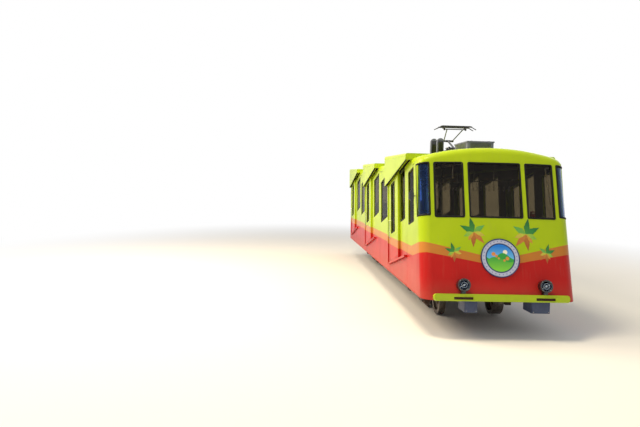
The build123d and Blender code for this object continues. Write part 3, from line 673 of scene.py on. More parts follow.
def paintedPlate():
    # Screen-printed enamel: flat colours with crisp edges under a clear gloss coat.
    sizes = roundPlate
    material, add, shader = newMaterial("printedEnamelPlate")
    plane = add("ShaderNodeUVMap", uv_map="plate")
    u, v, _ = add("ShaderNodeSeparateXYZ", {0: plane}).outputs
    reach = add("ShaderNodeVectorMath", {0: plane}, operation="LENGTH")

    def printed(base, layers):
        # each colour covers the last where its measure lies below a limit
        for measure, limit, soft, colour in layers:
            span = {"From Min": limit + soft, "From Max": limit - soft}
            mask = add("ShaderNodeMapRange", {"Value": measure, **span})
            base = add("ShaderNodeMix", {0: mask, 6: base, 7: colour}, data_type="RGBA")
        return base

    washes = []
    for low, high, (deep, light) in ((-0.1, 0.6, sizes["sky"]), (-0.6, 0.1, sizes["hill"])):
        wash = add("ShaderNodeMapRange", {"Value": v, "From Min": low, "From Max": high})
        wash = add("ShaderNodeMix", {0: wash, 6: toLinear(deep), 7: toLinear(light)}, data_type="RGBA")
        washes.append(wash)
    sunU, sunV, sunSize, sunColour = sizes["sun"]
    sun = add("ShaderNodeVectorMath", {0: plane, 1: (sunU, sunV, 0)}, operation="DISTANCE")
    layers = [(sun, sunSize, 0.012, toLinear(sunColour))]
    shades = toLinear(sizes["hill"][1]), washes[1]
    for (wave, phase, rise, level), shade in zip(sizes["hills"], shades):
        crest = add("ShaderNodeMath", {0: u, 1: wave, 2: phase}, operation="MULTIPLY_ADD")
        crest = add("ShaderNodeMath", {0: crest}, operation="SINE")
        crest = add("ShaderNodeMath", {0: crest, 1: rise, 2: level}, operation="MULTIPLY_ADD")
        layers.append((add("ShaderNodeMath", {0: v, 1: crest}, operation="SUBTRACT"), 0.0, 0.012, shade))
    for bushU, bushV, size in sizes["bushes"]:
        bush = add("ShaderNodeVectorMath", {0: plane, 1: (bushU, bushV, 0)}, operation="DISTANCE")
        layers.append((bush, size, 0.02, toLinear(sizes["bush"])))
    picture = printed(washes[0], layers)
    # dots halfway across the pale ring
    middle, pitch = (sizes["ring"] + sizes["outer"]) / 2, 2 * math.pi / sizes["dots"]
    sideways = add("ShaderNodeMath", {0: v, 1: u}, operation="ARCTAN2")
    sideways = add("ShaderNodeMath", {0: sideways, 1: 1 / pitch}, operation="MULTIPLY")
    sideways = add("ShaderNodeMath", {0: sideways}, operation="FRACT")
    sideways = add("ShaderNodeMath", {0: sideways, 1: 0.5}, operation="SUBTRACT")
    sideways = add("ShaderNodeMath", {0: sideways, 1: pitch * middle}, operation="MULTIPLY")
    outward = add("ShaderNodeMath", {0: reach, 1: middle}, operation="SUBTRACT")
    away = add("ShaderNodeCombineXYZ", {0: sideways, 1: outward})
    away = add("ShaderNodeVectorMath", {0: away}, operation="LENGTH")
    paint = printed(toLinear(sizes["navy"]), (
        (reach, sizes["outer"], 0.012, toLinear(sizes["pale"])),
        (reach, sizes["ring"], 0.012, toLinear(sizes["navy"])),
        (reach, sizes["inner"], 0.012, picture),
        (away, sizes["dotSize"], 0.008, toLinear(sizes["dot"]))))
    grime = add("ShaderNodeTexNoise", {"Vector": plane, "Scale": 9.0, "Detail": 5.0})
    rough = add("ShaderNodeMapRange", {"Value": grime, "To Min": 0.3, "To Max": 0.5})
    feed(shader, {"Base Color": paint, "Roughness": rough, "Specular IOR Level": 0.35})
    return material


finishes["plateArt"] = paintedPlate()
rake, (creaseY, creaseZ) = carSizes["rake"], carSizes["crease"]
plateY = creaseY - (creaseZ - roundPlate["z"]) * math.tan(rake)
out = Vector((0, -math.cos(rake), math.sin(rake)))
plateAt = levelToRow @ pointing((roundPlate["x"], plateY, roundPlate["z"]), out)
platePlaces = [turn @ plateAt for turn, _ in ends.values()]
radius, thick = roundPlate["radius"], roundPlate["thick"]
rim = [(0, 0), (radius - 0.006, 0), (radius, 0.005), (radius, thick + 0.004), (radius - 0.004, thick + 0.008),
       (radius - 0.010, thick + 0.008), (radius - 0.016, thick), (0.10, thick), (0, thick)]
bm, screws = bmesh.new(), []
for place in platePlaces:
    lathe(bm, rim, place, 64)
    screws += boltCircle(place, 6, radius - 0.013, thick + 0.004, 30)
layer = bm.loops.layers.uv.new("plate")
for face in bm.faces:
    for loop in face.loops:
        near = min(platePlaces, key=lambda place: (place.translation - loop.vert.co).length)
        loop[layer].uv = (near.inverted() @ loop.vert.co).xy / radius
plates = finishMesh(bm, "enamelPlates", "plateArt")
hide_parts("round_plates")
grow("plateScrews", "rivet", screws, "steelTube", radius=0.007, height=0.005)


# Leaf decals on the faces: cut vinyl, each lobe printed in its own colour.
leafDecals = {
    "leaves": (  # x, z, size, tilt, turned over
        (-0.420, 1.815, 0.275, 4, False), (0.497, 1.795, 0.300, 4, True),
        (-0.770, 1.462, 0.180, 8, False), (0.850, 1.466, 0.180, 8, True)),
    "lobes": (  # direction in degrees, length as a share, colour at the root and tip
        (98, 0.98, "#458E38", "#075A33"), (150, 0.95, "#438E3E", "#0E7234"),
        (200, 0.72, "#A9C73E", "#79B548"), (262, 1.00, "#B87A30", "#A2552A"),
        (308, 0.98, "#C48238", "#B96A34"), (28, 0.86, "#7DB23C", "#4FA556"),
        (338, 0.74, "#BCC63C", "#C8B04A"), (232, 0.66, "#C9A83A", "#C98A3C")),
    "widths": (  # place along the lobe, half its width there
        (0.0, 0.04), (0.14, 0.085), (0.30, 0.150), (0.42, 0.185),
        (0.50, 0.150), (0.64, 0.125), (0.82, 0.055), (1.0, 0.0)),
    "lift": 0.0012, "vein": 0.0022}


def printedVinyl():
    # Printed vinyl film: satin, its colours from the lobes' own tint, faintly mottled.
    material, add, shader = newMaterial("printedVinylLeaf")
    tint = add("ShaderNodeVertexColor", layer_name="tint")
    mottle = add("ShaderNodeTexCoord").outputs["Object"]
    mottle = add("ShaderNodeTexNoise", {"Vector": mottle, "Scale": 30.0, "Detail": 4.0})
    mottle = add("ShaderNodeMapRange", {"Value": mottle, "To Min": 0.75, "To Max": 1.15})
    paint = add("ShaderNodeMix", {0: 1.0, 6: tint, 7: mottle}, data_type="RGBA", blend_type="MULTIPLY")
    feed(shader, {"Base Color": paint, "Roughness": 0.4, "Specular IOR Level": 0.3})
    return material


def leafLobe(bm, layer, end, leaf, lobe):
    x0, z0, size, tilt, turnedOver = leaf
    direction, share, root, tip = lobe
    angle = math.radians(180 - direction - tilt if turnedOver else direction + tilt)
    along = Vector((math.cos(angle), math.sin(angle))) * size
    across = Vector((-along.y, along.x))
    rows = []
    for step, wide in leafDecals["widths"]:
        rows.append([])
        for edge in ((-1, 0, 1) if wide else (0,)):
            x, z = along * step * share + across * edge * wide
            spot, facing = onEnd(end, (x0 + x, -3, z0 + z))
            vert = bm.verts.new(spot + facing * leafDecals["lift" if edge else "vein"])
            vert[layer] = Vector(toLinear(root)).lerp(Vector(toLinear(tip)), step)
            rows[-1].append(vert)
    for low, high in zip(rows, rows[1:]):
        for k in (0, 1):
            ahead = high[k:k + 2][::-1] if len(high) == 3 else high
            face = bm.faces.new([low[k], low[k + 1], *ahead])
            face.normal_update()
            if face.normal.dot(facing) < 0:
                face.normal_flip()


finishes["vinylLeaf"] = printedVinyl()
bm = bmesh.new()
layer = bm.verts.layers.float_color.new("tint")
for leaf in leafDecals["leaves"]:
    for lobe in leafDecals["lobes"]:
        for end in ends:
            leafLobe(bm, layer, end, leaf, lobe)
mesh = bpy.data.meshes.new("leafDecals")
bm.to_mesh(mesh)
bm.free()
placePiece("leafDecals", mesh, finish="vinylLeaf")
print("stage: plates and leaves")


# Headlamps: pressed bezel, bowl painted dark as painted shade, bulb (white, also a painted highlight)
# in its polished shroud on two stays, and a domed glass. Profiles are radius and height; the stay is a block.
headlamp = {
    "x": (-0.658, 0.742), "z": 0.893, "radius": 0.105, "face": -0.085, "lens": 0.089,
    "bulb": ((0, -0.002), (0.012, -0.004), (0.018, -0.012), (0.015, -0.024), (0.015, -0.0325), (0, -0.0325)),
    "shroud": ((0.046, -0.010), (0.052, -0.010), (0.050, -0.002), (0.045, -0.002), (0.046, -0.010)),
    "stay": ((0.014, 0.080), (-0.003, 0.003), (-0.009, -0.005)), "stayTurns": (0.5, 3.6)}
bezel, bowl, lens, screws = bmesh.new(), bmesh.new(), bmesh.new(), []
r, inner = headlamp["radius"], headlamp["lens"]
pressed = [(inner - 0.004, -0.012), (r + 0.003, -0.012), (r + 0.006, -0.004), (r + 0.004, 0.006),
           (r - 0.004, 0.011), (inner, 0.009), (inner - 0.006, 0.002), (inner - 0.004, -0.012)]
hollow = [(0, -0.033), (0.024, -0.032), (0.050, -0.027), (0.072, -0.018), (inner - 0.002, -0.006),
          (inner - 0.002, -0.0345), (0, -0.0345)]
domed = [(0, 0.008), (0.030, 0.0072), (0.060, 0.004), (inner - 0.003, -0.001),
         (inner - 0.003, -0.004), (0.060, 0.000), (0.030, 0.0032), (0, 0.004)]
for x in headlamp["x"]:
    for turn, _ in ends.values():
        place = turn @ levelToRow @ pointing((x, headlamp["face"], headlamp["z"]), (0, -1, 0))
        lathe(bezel, pressed, place, 40)
        lathe(bowl, hollow, place, 40)
        # the bulb's white is its own and also a painted highlight in the dark bowl
        lathe(bowl, headlamp["bulb"], place, 16, 1)
        lathe(bowl, headlamp["shroud"], place, 32, 2)
        for angle in headlamp["stayTurns"]:
            block(bowl, *headlamp["stay"], place @ Matrix.Rotation(angle, 4, "Z"), 0.0, 2)
        lathe(lens, domed, place, 40)
        screws += boltCircle(place, 4, r - 0.004, 0.010, 45)
finishMesh(bezel, "headlampBezels", "blackPaint")
finishMesh(bowl, "headlampBowls", "silvered", more=["lampDiffuser", "steelTube"])
lenses = finishMesh(lens, "headlampGlass", "lampGlass")
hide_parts("headlamp_lenses")
grow("headlampScrews", "bolt", screws, "steelTube", radius=0.0055, height=0.004, sides=6)
print("stage: headlamps")


# End mouldings: the shells with the edge between face and roof rolled over, as pressed steel is.
rolledEdge = {"width": 0.118, "segments": 8, "cutAbove": 3.075, "smallest": 0.030, "sharpest": 24.0}


def onArch(edge, cut, up, outward):
    # convex, above the cut, between a panel that faces out of the end and one that faces up
    if len(edge.link_faces) != 2 or not edge.is_convex:
        return False
    facings = [face.normal for face in edge.link_faces]
    return (math.degrees(edge.calc_face_angle()) >= rolledEdge["sharpest"]
            and (edge.verts[0].co - cut).dot(up) >= 0.01
            and any(abs(f.z) < 0.35 and f.y * outward > 0.05 for f in facings)
            and any(f.z > 0 and abs(f.y) < 0.21 for f in facings))


for end, outward in (("front", -1), ("rear", 1)):
    turn, drop = ends[end]
    bm = bmesh.new()
    bm.from_mesh(nodes[f"{end}_end_shell"].data)
    bmesh.ops.remove_doubles(bm, verts=bm.verts, dist=1e-5)
    # a cut above the windows leaves plain panels for the roll to bite into
    cut, up = turn @ levelPlace(0, 0, rolledEdge["cutAbove"] - drop), levelTurn(0, 0, 1)
    everything = bm.verts[:] + bm.edges[:] + bm.faces[:]
    bmesh.ops.bisect_plane(bm, geom=everything, dist=1e-5, plane_co=cut, plane_no=up)
    for edge in bm.edges:
        edge.seam = all(abs((vert.co - cut).dot(up)) < 1e-4 for vert in edge.verts)
    bmesh.ops.dissolve_limit(bm, angle_limit=math.radians(0.5), verts=bm.verts, edges=bm.edges,
                             delimit={"SEAM"})
    arch = {vert for edge in bm.edges if onArch(edge, cut, up, outward) for vert in edge.verts}
    bmesh.ops.remove_doubles(bm, verts=list(arch), dist=rolledEdge["smallest"])
    arch = [edge for edge in bm.edges if onArch(edge, cut, up, outward)]
    bmesh.ops.bevel(bm, geom=arch, offset=rolledEdge["width"], offset_type="OFFSET", profile=0.5,
                    segments=rolledEdge["segments"], affect="EDGES", clamp_overlap=False)
    moulding = finishMesh(bm, f"{end}EndMoulding", "livery", smooth=35.0)
    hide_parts(f"{end}_end_shell")
print("stage: end mouldings")


# Roof: vent box lid and louvres, cowl louvres, and a conduit on clips. Track frame.
roofSizes = {"crest": 3.252, "archRadius": 4.606, "ventX": 0.256, "ventY": (1.580, 2.480), "ventTop": 3.416,
             "lidRibs": (-0.17, 0.17), "louvreFoot": 3.280, "frontLouvre": 0.20, "cowlX": (-0.428, -0.292),
             "cowls": ((3.300, 3.545), (3.910, 3.585)), "cowlFoot": 3.26, "cowlRound": 0.070,
             "conduit": ((0.30, 1.70), (0.30, 3.00), (0.26, 3.20), (0.26, 3.27)),
             "conduitEnd": (0.26, 3.29, 3.34), "clips": (1.9, 2.2, 2.5, 2.8),
             "clip": ((0.275, 0.003), (0.275, 0.026), (0.325, 0.026), (0.325, 0.003))}


def roofHeight(x, above=0.0):
    # over the roof's outer face at a point across the car
    crest, radius = roofSizes["crest"], roofSizes["archRadius"]
    return crest - radius + math.sqrt(radius ** 2 - x * x) + above


def collar(x0, x1, y0, y1, corner):
    # a sealing strip on the roof round a box
    loop = split(roundedLoop(x0, x1, y0, y1, corner))
    return guide(trackToRow, [(x, y, roofHeight(x, 0.004)) for x, y in loop], (0, 0, 1), True)


vx, (vy0, vy1), top, foot = (roofSizes[key] for key in ("ventX", "ventY", "ventTop", "louvreFoot"))
bm = bmesh.new()
block(bm, around(0, vx + 0.012), (vy0 - 0.012, vy1 + 0.012), (top - 0.018, top + 0.008), trackToRow, 0.006)
for x in roofSizes["lidRibs"]:
    block(bm, around(x, 0.02), (vy0 + 0.02, vy1 - 0.02), (top + 0.006, top + 0.014), trackToRow, 0.003)
finishMesh(bm, "ventLid", "roofGrey")
louvres = [("Front", [(x, vy0 - 0.004, foot) for x in around(0, roofSizes["frontLouvre"])], (0, -0.8, -0.6))]
for side, sign in flanks:
    points = [(sign * (vx + 0.004), y, foot) for y in (vy0 + 0.10, vy1 - 0.10)]
    louvres.append((side.title(), points, (sign * 0.8, 0, -0.6)))
for name, points, facing in louvres:
    slat = guide(trackToRow, points, facing)
    grow(f"ventLouvres{name}", "row", [slat], "roofGrey", width=0.022, height=0.002, count=6, stepZ=0.019)
screwStep = (vy1 - vy0 - 0.08) / 6
screws = studs(trackToRow, [(x, vy0 + 0.04 + n * screwStep, top + 0.008)
                            for x in around(0, vx - 0.03) for n in range(7)], (0, 0, 1))
grow("ventLidScrews", "rivet", screws, "steelTube", radius=0.008, height=0.004, sides=6)
collars = [collar(-vx - 0.008, vx + 0.008, vy0 - 0.008, vy1 + 0.008, 0.015)]
(cx0, cx1), foot, arch = (roofSizes[key] for key in ("cowlX", "cowlFoot", "cowlRound"))
bm = bmesh.new()
for n, (y, top) in enumerate(roofSizes["cowls"], 1):
    # black panels on the front and on the side away from the light as painted shade, black louvres over the
    # front, and a cap band over the rounded top
    block(bm, (cx0 + 0.014, cx1 - 0.014), (y - 0.056, y - 0.048), (foot, top + 0.02), trackToRow, 0.003)
    block(bm, (cx1 - 0.006, cx1 + 0.004), around(y, 0.040), (foot, top - 0.01), trackToRow, 0.002)
    collars.append(collar(cx0 - 0.006, cx1 + 0.006, *around(y, 0.056), 0.012))
    slat = guide(trackToRow, [(x, y - 0.060, foot + 0.015) for x in (cx0 + 0.02, cx1 - 0.02)], (0, -0.8, -0.6))
    grow(f"cowlLouvres_{n}", "row", [slat], "blackPaint", width=0.020, height=0.0018, count=13, stepZ=0.020)
    angles = [math.radians(a) for a in range(0, 181, 15)]
    band = [((cx0 + cx1) / 2 - arch * math.cos(a), y, top + arch * math.sin(a)) for a in angles]
    band = [(cx0 - 0.002, y, foot), *band, (cx1 + 0.002, y, foot)]
    band = guide(trackToRow, band, (0, 1, 0))
    grow(f"cowlBand_{n}", "strip", [band], "roofGrey", width=0.006, height=0.104, corners=4)
finishMesh(bm, "cowlShadePanels", "blackPaint")
grow("roofCollars", "strip", collars, "rubber", width=0.030, height=0.012)
conduit = [(x, y, roofHeight(x, 0.012)) for x, y in roofSizes["conduit"]] + [roofSizes["conduitEnd"]]
conduit = guide(trackToRow, conduit, (0, 0, 1))
grow("roofConduit", "strip", [conduit], "rubber", width=0.024, height=0.024)
clips = [guide(trackToRow, [(x, y, roofHeight(x - 0.005, above)) for x, above in roofSizes["clip"]], (0, 1, 0))
         for y in roofSizes["clips"]]
grow("conduitClips", "strip", clips, "steelTube", width=0.003, height=0.020, corners=4)


# Pantograph: porcelain posts with three sheds, springs and damper on the base, carbon strips and
# bolts. Its own frame has its origin at the lower arm's pin.
pantograph = {
    "place": (0.040, 3.600, 3.420), "arm": 0.620, "angle": math.radians(20.3), "posts": (0.220, 0.310),
    "postTop": 3.352, "springX": 0.185, "springTurns": 11, "springRadius": 0.020, "springLength": 0.200,
    "springStart": (-0.270, -0.005), "strips": (0.110, 0.320, 0.016), "headBolt": (0.253, 0.1, 0.036),
    "baseBolts": (0.220, 0.310, -0.026), "damper": ((0, 0), (0.022, 0), (0.024, 0.004), (0.024, 0.120),
                                                    (0.022, 0.124), (0.009, 0.126), (0.009, 0.185), (0, 0.185))}
pantoPlace = trackToRow @ Matrix.Translation(pantograph["place"])
px, py, _ = pantograph["place"]
bm = bmesh.new()
for x in around(px, pantograph["posts"][0]):
    for y in around(py, pantograph["posts"][1]):
        high = pantograph["postTop"] - roofHeight(x)
        post = [(0, -0.02), (0.030, -0.02), (0.030, 0.012), (0.022, 0.016)]
        for low in (0.022 + n * (high - 0.040) / 3 for n in range(3)):
            post += [(0.022, low), (0.044, low + 0.003), (0.045, low + 0.007), (0.024, low + 0.018)]
        post += [(0.022, high - 0.014), (0.027, high - 0.012), (0.027, high), (0, high)]
        lathe(bm, post, trackToRow @ Matrix.Translation((x, y, roofHeight(x))), 24)
posts = finishMesh(bm, "postInsulators", "brownGlaze", smooth=30)
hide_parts("pantograph_insulators")
bm, springs = bmesh.new(), []
turns, radius = pantograph["springTurns"] * 12, pantograph["springRadius"]
(springY, springZ), length = pantograph["springStart"], pantograph["springLength"]
for x in around(0, pantograph["springX"]):
    coil = []
    for n in range(turns + 1):
        a = 2 * math.pi * n / 12
        coil.append((x + radius * math.cos(a), springY + length * n / turns, springZ + radius * math.sin(a)))
    springs.append(guide(pantoPlace, coil, (0, 1, 0)))
    rod = pantoPlace @ pointing((x, -0.285, -0.005), (0, 1, 0))
    lathe(bm, [(0, 0), (0.010, 0), (0.010, 0.235), (0, 0.235)], rod, 12)
    lathe(bm, [(0, 0), (0.026, 0), (0.026, 0.014), (0, 0.014)], rod, 16)
    block(bm, around(x, 0.014), (-0.300, -0.272), (-0.035, 0.012), pantoPlace, 0.004)
    block(bm, around(x, 0.014), (-0.060, -0.038), (-0.035, 0.008), pantoPlace, 0.004)
lathe(bm, pantograph["damper"], pantoPlace @ pointing((-0.05, 0.275, -0.015), (0, -1, 0)), 20)
finishMesh(bm, "pantographBaseFittings", "blackPaint")
grow("pantographSprings", "strip", springs, "steelTube", width=0.005, height=0.005, corners=6)
headHigh = 2 * pantograph["arm"] * math.sin(pantograph["angle"])
stripY, stripX, stripHalf = pantograph["strips"]
bm = bmesh.new()
for y in around(0, stripY):
    block(bm, around(0, stripX), around(y, stripHalf), (headHigh + 0.060, headHigh + 0.070), pantoPlace, 0.003)
finishMesh(bm, "carbonStrips", "carbon", "contact_head")
boltX, boltY, above = pantograph["headBolt"]
bolts = [guide(pantoPlace, [(side * boltX, y, headHigh + above)], (side, 0, 0))
         for y in around(0, boltY) for side in (-1, 1)]
grow("headBolts", "bolt", bolts, "steelTube", "contact_head", radius=0.008, height=0.008, sides=6)
boltX, boltY, z = pantograph["baseBolts"]
bolts = studs(pantoPlace, [(x, y, z) for y in around(0, boltY) for x in around(0, boltX)], (0, 0, 1))
grow("baseBolts", "bolt", bolts, "steelTube", radius=0.014, height=0.012, sides=6)
print("stage: roof")


# Hoods: black sheets in the hollow as painted shade, a black brush strip under the outer skin that is partly a
# real seal and partly painted shade, and rows of rivets.
hoodSizes = {"near": 0.900, "far": 3.450, "bottom": 3.275, "nearTop": 3.400, "slant": 0.585 / 2.55,
             "lined": (0.9215, 3.4285, 3.277, 3.377, 3.951),  # near, far, bottom, tops at both ends
             "linedX": (1.3361, 1.3367, 1.4245, 1.4257), "outer": 1.446,  # both sides of each sheet
             "sheet": 0.0015, "shadeBrushX": (1.428, 1.444), "shadeBrushZ": (3.262, 3.2755),
             "rivets": 24, "rivetStep": 0.105, "rivetLow": 3.297, "topRowFrom": 3.36}
near, far, bottom, nearTop, farTop = hoodSizes["lined"]
sheet = hoodSizes["sheet"]
hollow = [(near, bottom), (near, nearTop), (far, farTop), (far, bottom)]
edges = [[(near, nearTop), (far, farTop), (far, farTop - sheet), (near, nearTop - sheet)]]
edges += [[(y, bottom), (y, top), (y + sheet, top), (y + sheet, bottom)]
          for y, top in ((near, nearTop), (far - sheet, farTop))]
shadeBrushY = hoodSizes["near"] + 0.004, hoodSizes["far"] - 0.004
heads = []
for n in range(hoodSizes["rivets"]):
    along = 0.04 + n * hoodSizes["rivetStep"]
    top = hoodSizes["nearTop"] + along * hoodSizes["slant"] - 0.066
    heads.append((hoodSizes["near"] + along, hoodSizes["rivetLow"]))
    if top > hoodSizes["topRowFrom"]:
        heads.append((hoodSizes["near"] + along, top))
lining, shadeBrushes, rivets = bmesh.new(), bmesh.new(), []
for place in doorPlaces:
    for _, sign in flanks:
        wallX, innerX, outerX, skinX = onSide(sign, hoodSizes["linedX"])
        plateBetween(lining, hollow, wallX, innerX, place)
        plateBetween(lining, hollow, outerX, skinX, place)
        for outline in edges:
            plateBetween(lining, outline, innerX, outerX, place)
        block(shadeBrushes, onSide(sign, hoodSizes["shadeBrushX"]), shadeBrushY, hoodSizes["shadeBrushZ"], place, 0.003)
        rivets += studs(place, [(sign * hoodSizes["outer"], y, z) for y, z in heads], (sign, 0, 0))
# the sheets lining the hood hollows are near-black as painted shade
finishMesh(lining, "hoodShadeLinings", "hollowShadeBlack")
# the brush strips are a seal, and being black they are also painted shade under the hood
finishMesh(shadeBrushes, "hoodBrushesAndShade", "rubber")
grow("hoodRivets", "rivet", rivets, "livery", radius=0.007, height=0.004, sides=6)


# Sliding doors: pressed frame on the leaf, edge rubbers, grab handle, hanger bolts.
doorSizes = {"face": 1.380, "back": 1.344, "near": 2.100, "far": 3.260, "bottom": 1.520, "top": 3.330,
             "frame": 0.046, "proud": 0.003, "inset": 0.012, "frameTop": 3.268, "rail": (2.030, 2.068),
             "handleY": 3.075, "handleZ": (2.020, 2.420),
             "handleBend": ((1.381, 0), (1.396, 0.004), (1.402, 0.018)),
             "hangerBolts": (2.220, 3.140), "hangerZ": 3.355, "frameBolts": (2.135, 3.225),
             "boltHeights": (1.62, 1.85, 2.10, 2.40, 2.70, 3.00, 3.20)}
face, wide, inset = doorSizes["face"], doorSizes["frame"], doorSizes["inset"]
y0, y1 = doorSizes["near"] + inset, doorSizes["far"] - inset
z0, z1 = doorSizes["bottom"] + inset, doorSizes["frameTop"]
pressing = [((y0, y0 + wide), (z0, z1)), ((y1 - wide, y1), (z0, z1))]
pressing += [((y0 + wide, y1 - wide), zs) for zs in ((z0, z0 + wide), (z1 - wide, z1), doorSizes["rail"])]
(low, high), bend = doorSizes["handleZ"], doorSizes["handleBend"]
bar = [(x, low + up) for x, up in bend] + [(x, high - up) for x, up in bend[::-1]]
heads = [(face, y + dy, doorSizes["hangerZ"]) for y in doorSizes["hangerBolts"] for dy in (-0.022, 0.022)]
heads += [(face + 0.002, y, z) for y in doorSizes["frameBolts"] for z in doorSizes["boltHeights"]]
for side, sign in flanks:
    for k, place in enumerate(doorPlaces, 1):
        body = f"sliding_door_{side}_{k}"
        bm = bmesh.new()
        for ys, zs in pressing:
            block(bm, onSide(sign, (face - 0.001, face + doorSizes["proud"])), ys, zs, place, 0.001)
        xs = onSide(sign, (doorSizes["back"] + 0.002, face - 0.002))
        zs = doorSizes["bottom"] + 0.004, doorSizes["top"] - 0.004
        block(bm, xs, (doorSizes["far"] - 0.001, doorSizes["far"] + 0.0095), zs, place, 0.004, 1)
        block(bm, xs, (doorSizes["near"] - 0.007, doorSizes["near"] + 0.001), zs, place, 0.003)
        finishMesh(bm, f"doorPressing_{side}_{k}", "livery", body, more=["rubber"])
        handle = guide(place, [(sign * x, doorSizes["handleY"], z) for x, z in bar], (0, 1, 0))
        grow(f"doorHandle_{side}_{k}", "strip", [handle], "steelTube", body, width=0.016, height=0.016)
        bolts = studs(place, [(sign * x, y, z) for x, y, z in heads], (sign, 0, 0))
        grow(f"doorBolts_{side}_{k}", "bolt", bolts, "steelTube", body, radius=0.006, height=0.004, sides=6)
print("stage: hoods and doors")


# Flanks: cover strips over the panel joints, a drip rail between the hoods, a folded skirt edge,
# rail brackets and wear strips. Nothing stands more than 3 mm proud where a door passes.
flankSizes = {"face": 1.336, "joints": (1.380, 3.400, 4.920, 6.250, 7.690, 9.210, 10.540, 11.980),
              "strip": (0.030, 0.0012), "skirt": 0.6241, "eave": 2.992, "rivetStep": 0.118,
              "hem": ((0.790, 12.630), (0.6125, 0.640)),
              "drips": ((0.640, 0.890), (3.462, 5.178), (7.752, 9.468), (12.042, 12.280)),
              "wear": ((1.3455, 1.3785), (1.400, 3.258), (1.5115, 1.5128)),
              "brackets": (1.410, 1.720, 2.030, 2.340, 2.650, 2.960, 3.240),
              "bracketX": 1.372, "bracketZ": (1.4745, 1.462), "roofJoints": (0.620, 4.310, 8.600, 12.300)}
strips, brackets, wear, rivets, drips = bmesh.new(), bmesh.new(), bmesh.new(), [], []
face, (wide, proud), step = flankSizes["face"], flankSizes["strip"], flankSizes["rivetStep"]
for _, sign in flanks:
    for y in flankSizes["joints"]:
        low, high = flankSizes["skirt"] + y * tanSlope + 0.012, flankSizes["eave"] + y * tanSlope
        for k in range(3):
            if hoodSizes["near"] + k * doorStep.y < y < hoodSizes["far"] + k * doorStep.y:
                high = min(high, hoodSizes["bottom"] + k * doorStep.z - 0.004)
        xs = onSide(sign, (face - 0.001, face + proud))
        block(strips, xs, around(y, wide / 2), (low, high), levelToRow)
        heads = [low + 0.04 + n * step for n in range(int((high - low - 0.06) / step) + 1)]
        rivets += studs(levelToRow, [(sign * (face + 0.001), y, z) for z in heads], (sign, 0, 0))
    block(strips, onSide(sign, (face - 0.001, face + 0.002)), *flankSizes["hem"], trackToRow, 0.0008)
    for ys in flankSizes["drips"]:
        drip = [(sign * (face + 0.004), y, flankSizes["eave"] + 0.002 + y * tanSlope) for y in ys]
        drips.append(guide(levelToRow, drip, (sign, 0, 0)))
    for place in doorPlaces:
        xs, ys, zs = flankSizes["wear"]
        block(wear, onSide(sign, xs), ys, zs, place)
        top, low = flankSizes["bracketZ"]
        x0, x1 = sorted(onSide(sign, (face, flankSizes["bracketX"])))
        for y in flankSizes["brackets"]:
            outline = [(y, top), (y, low), (y + 0.008, low), (y + 0.008, top)]
            plateBetween(brackets, outline, x0, x1, place)
finishMesh(strips, "panelCoverStrips", "livery")
finishMesh(brackets, "doorRailBrackets", "redRail")
finishMesh(wear, "doorRailWearStrips", "steelTube")
grow("panelRivets", "rivet", rivets, "livery", radius=0.006, height=0.0015, sides=6)
grow("dripRails", "strip", drips, "livery", width=0.022, height=0.018, corners=6)
# cover strips over the roof joints, from eave to eave
covers, across = [], [-1.20 + 0.1 * n for n in range(25)]
for y in flankSizes["roofJoints"]:
    arc = [(x, (y + roofHeight(x, 0.001) * sinSlope) / cosSlope, roofHeight(x, 0.001)) for x in across]
    covers.append(guide(trackToRow, arc, (0, 0, 1)))
grow("roofCoverStrips", "strip", covers, "livery", width=0.048, height=0.006, corners=6)


# Mirror glass, and dark ribbed inserts in the bumper slots, their dark red-brown a painted shade.
endTrim = {"mirror": ((-1.448, -1.374), (0.5515, 0.5540), (2.443, 2.577)),
           "slot": (0.164, (-0.020, -0.006), (0.651, 0.693)), "ribs": (9, -0.146, 0.0365),
           "rib": (0.004, (-0.026, -0.019), (0.652, 0.692))}
count, first, step = endTrim["ribs"]
bm, dark = bmesh.new(), bmesh.new()
for turn, _ in ends.values():
    place = turn @ levelToRow
    block(bm, *endTrim["mirror"], place, 0.001)
    for x in headlamp["x"]:
        half, ys, zs = endTrim["slot"]
        block(dark, around(x, half), ys, zs, place, 0.002)
        half, ys, zs = endTrim["rib"]
        for n in range(count):
            block(dark, around(x + first + n * step, half), ys, zs, place, 0.001)
finishMesh(bm, "mirrorGlass", "mirror")
finishMesh(dark, "bumperSlotShades", "slotShadeBrown")
print("stage: flanks")


# Underframe, in the track frame: brake pipes with clips, bolt heads, splice bolts along the sole
# bars, covers on the sill boxes, anchor bolts.
underSizes = {"pipeX": 0.300, "pipeZ": 0.604, "pipe": 0.026, "pipeY": (0.42, 12.78),
              "members": (0.350, 1.300, 4.600, 6.750, 8.900, 12.250, 12.980), "memberUnder": 0.620,
              "soleX": 0.372, "splices": (38, 0.62, 0.325), "spliceZ": (0.735, 0.800),
              "boxes": ((-0.570, -0.350), (0.600, 0.917)), "boxZ": (0.392, 0.606), "boxFace": (0.3255, 0.330),
              "boxSides": ((1, (0.345, 0.705)), (-1, (12.640, 13.000))),
              "screwY": 0.325, "screwZ": (0.406, 0.592), "anchor": (0.0905, 13.060), "anchorZ": (0.575, 0.600)}
members, under = underSizes["members"], underSizes["memberUnder"]
pipes = [guide(trackToRow, [(x, y, underSizes["pipeZ"]) for y in underSizes["pipeY"]], (0, 0, 1))
         for x in around(0, underSizes["pipeX"])]
grow("brakePipes", "strip", pipes, "castSteel", width=underSizes["pipe"], height=underSizes["pipe"], corners=10)
bolts, clips = [], bmesh.new()
count, first, step = underSizes["splices"]
splices = [first + n * step for n in range(count)]
splices = [y for y in splices if all(abs(y - member) > 0.10 for member in members)]
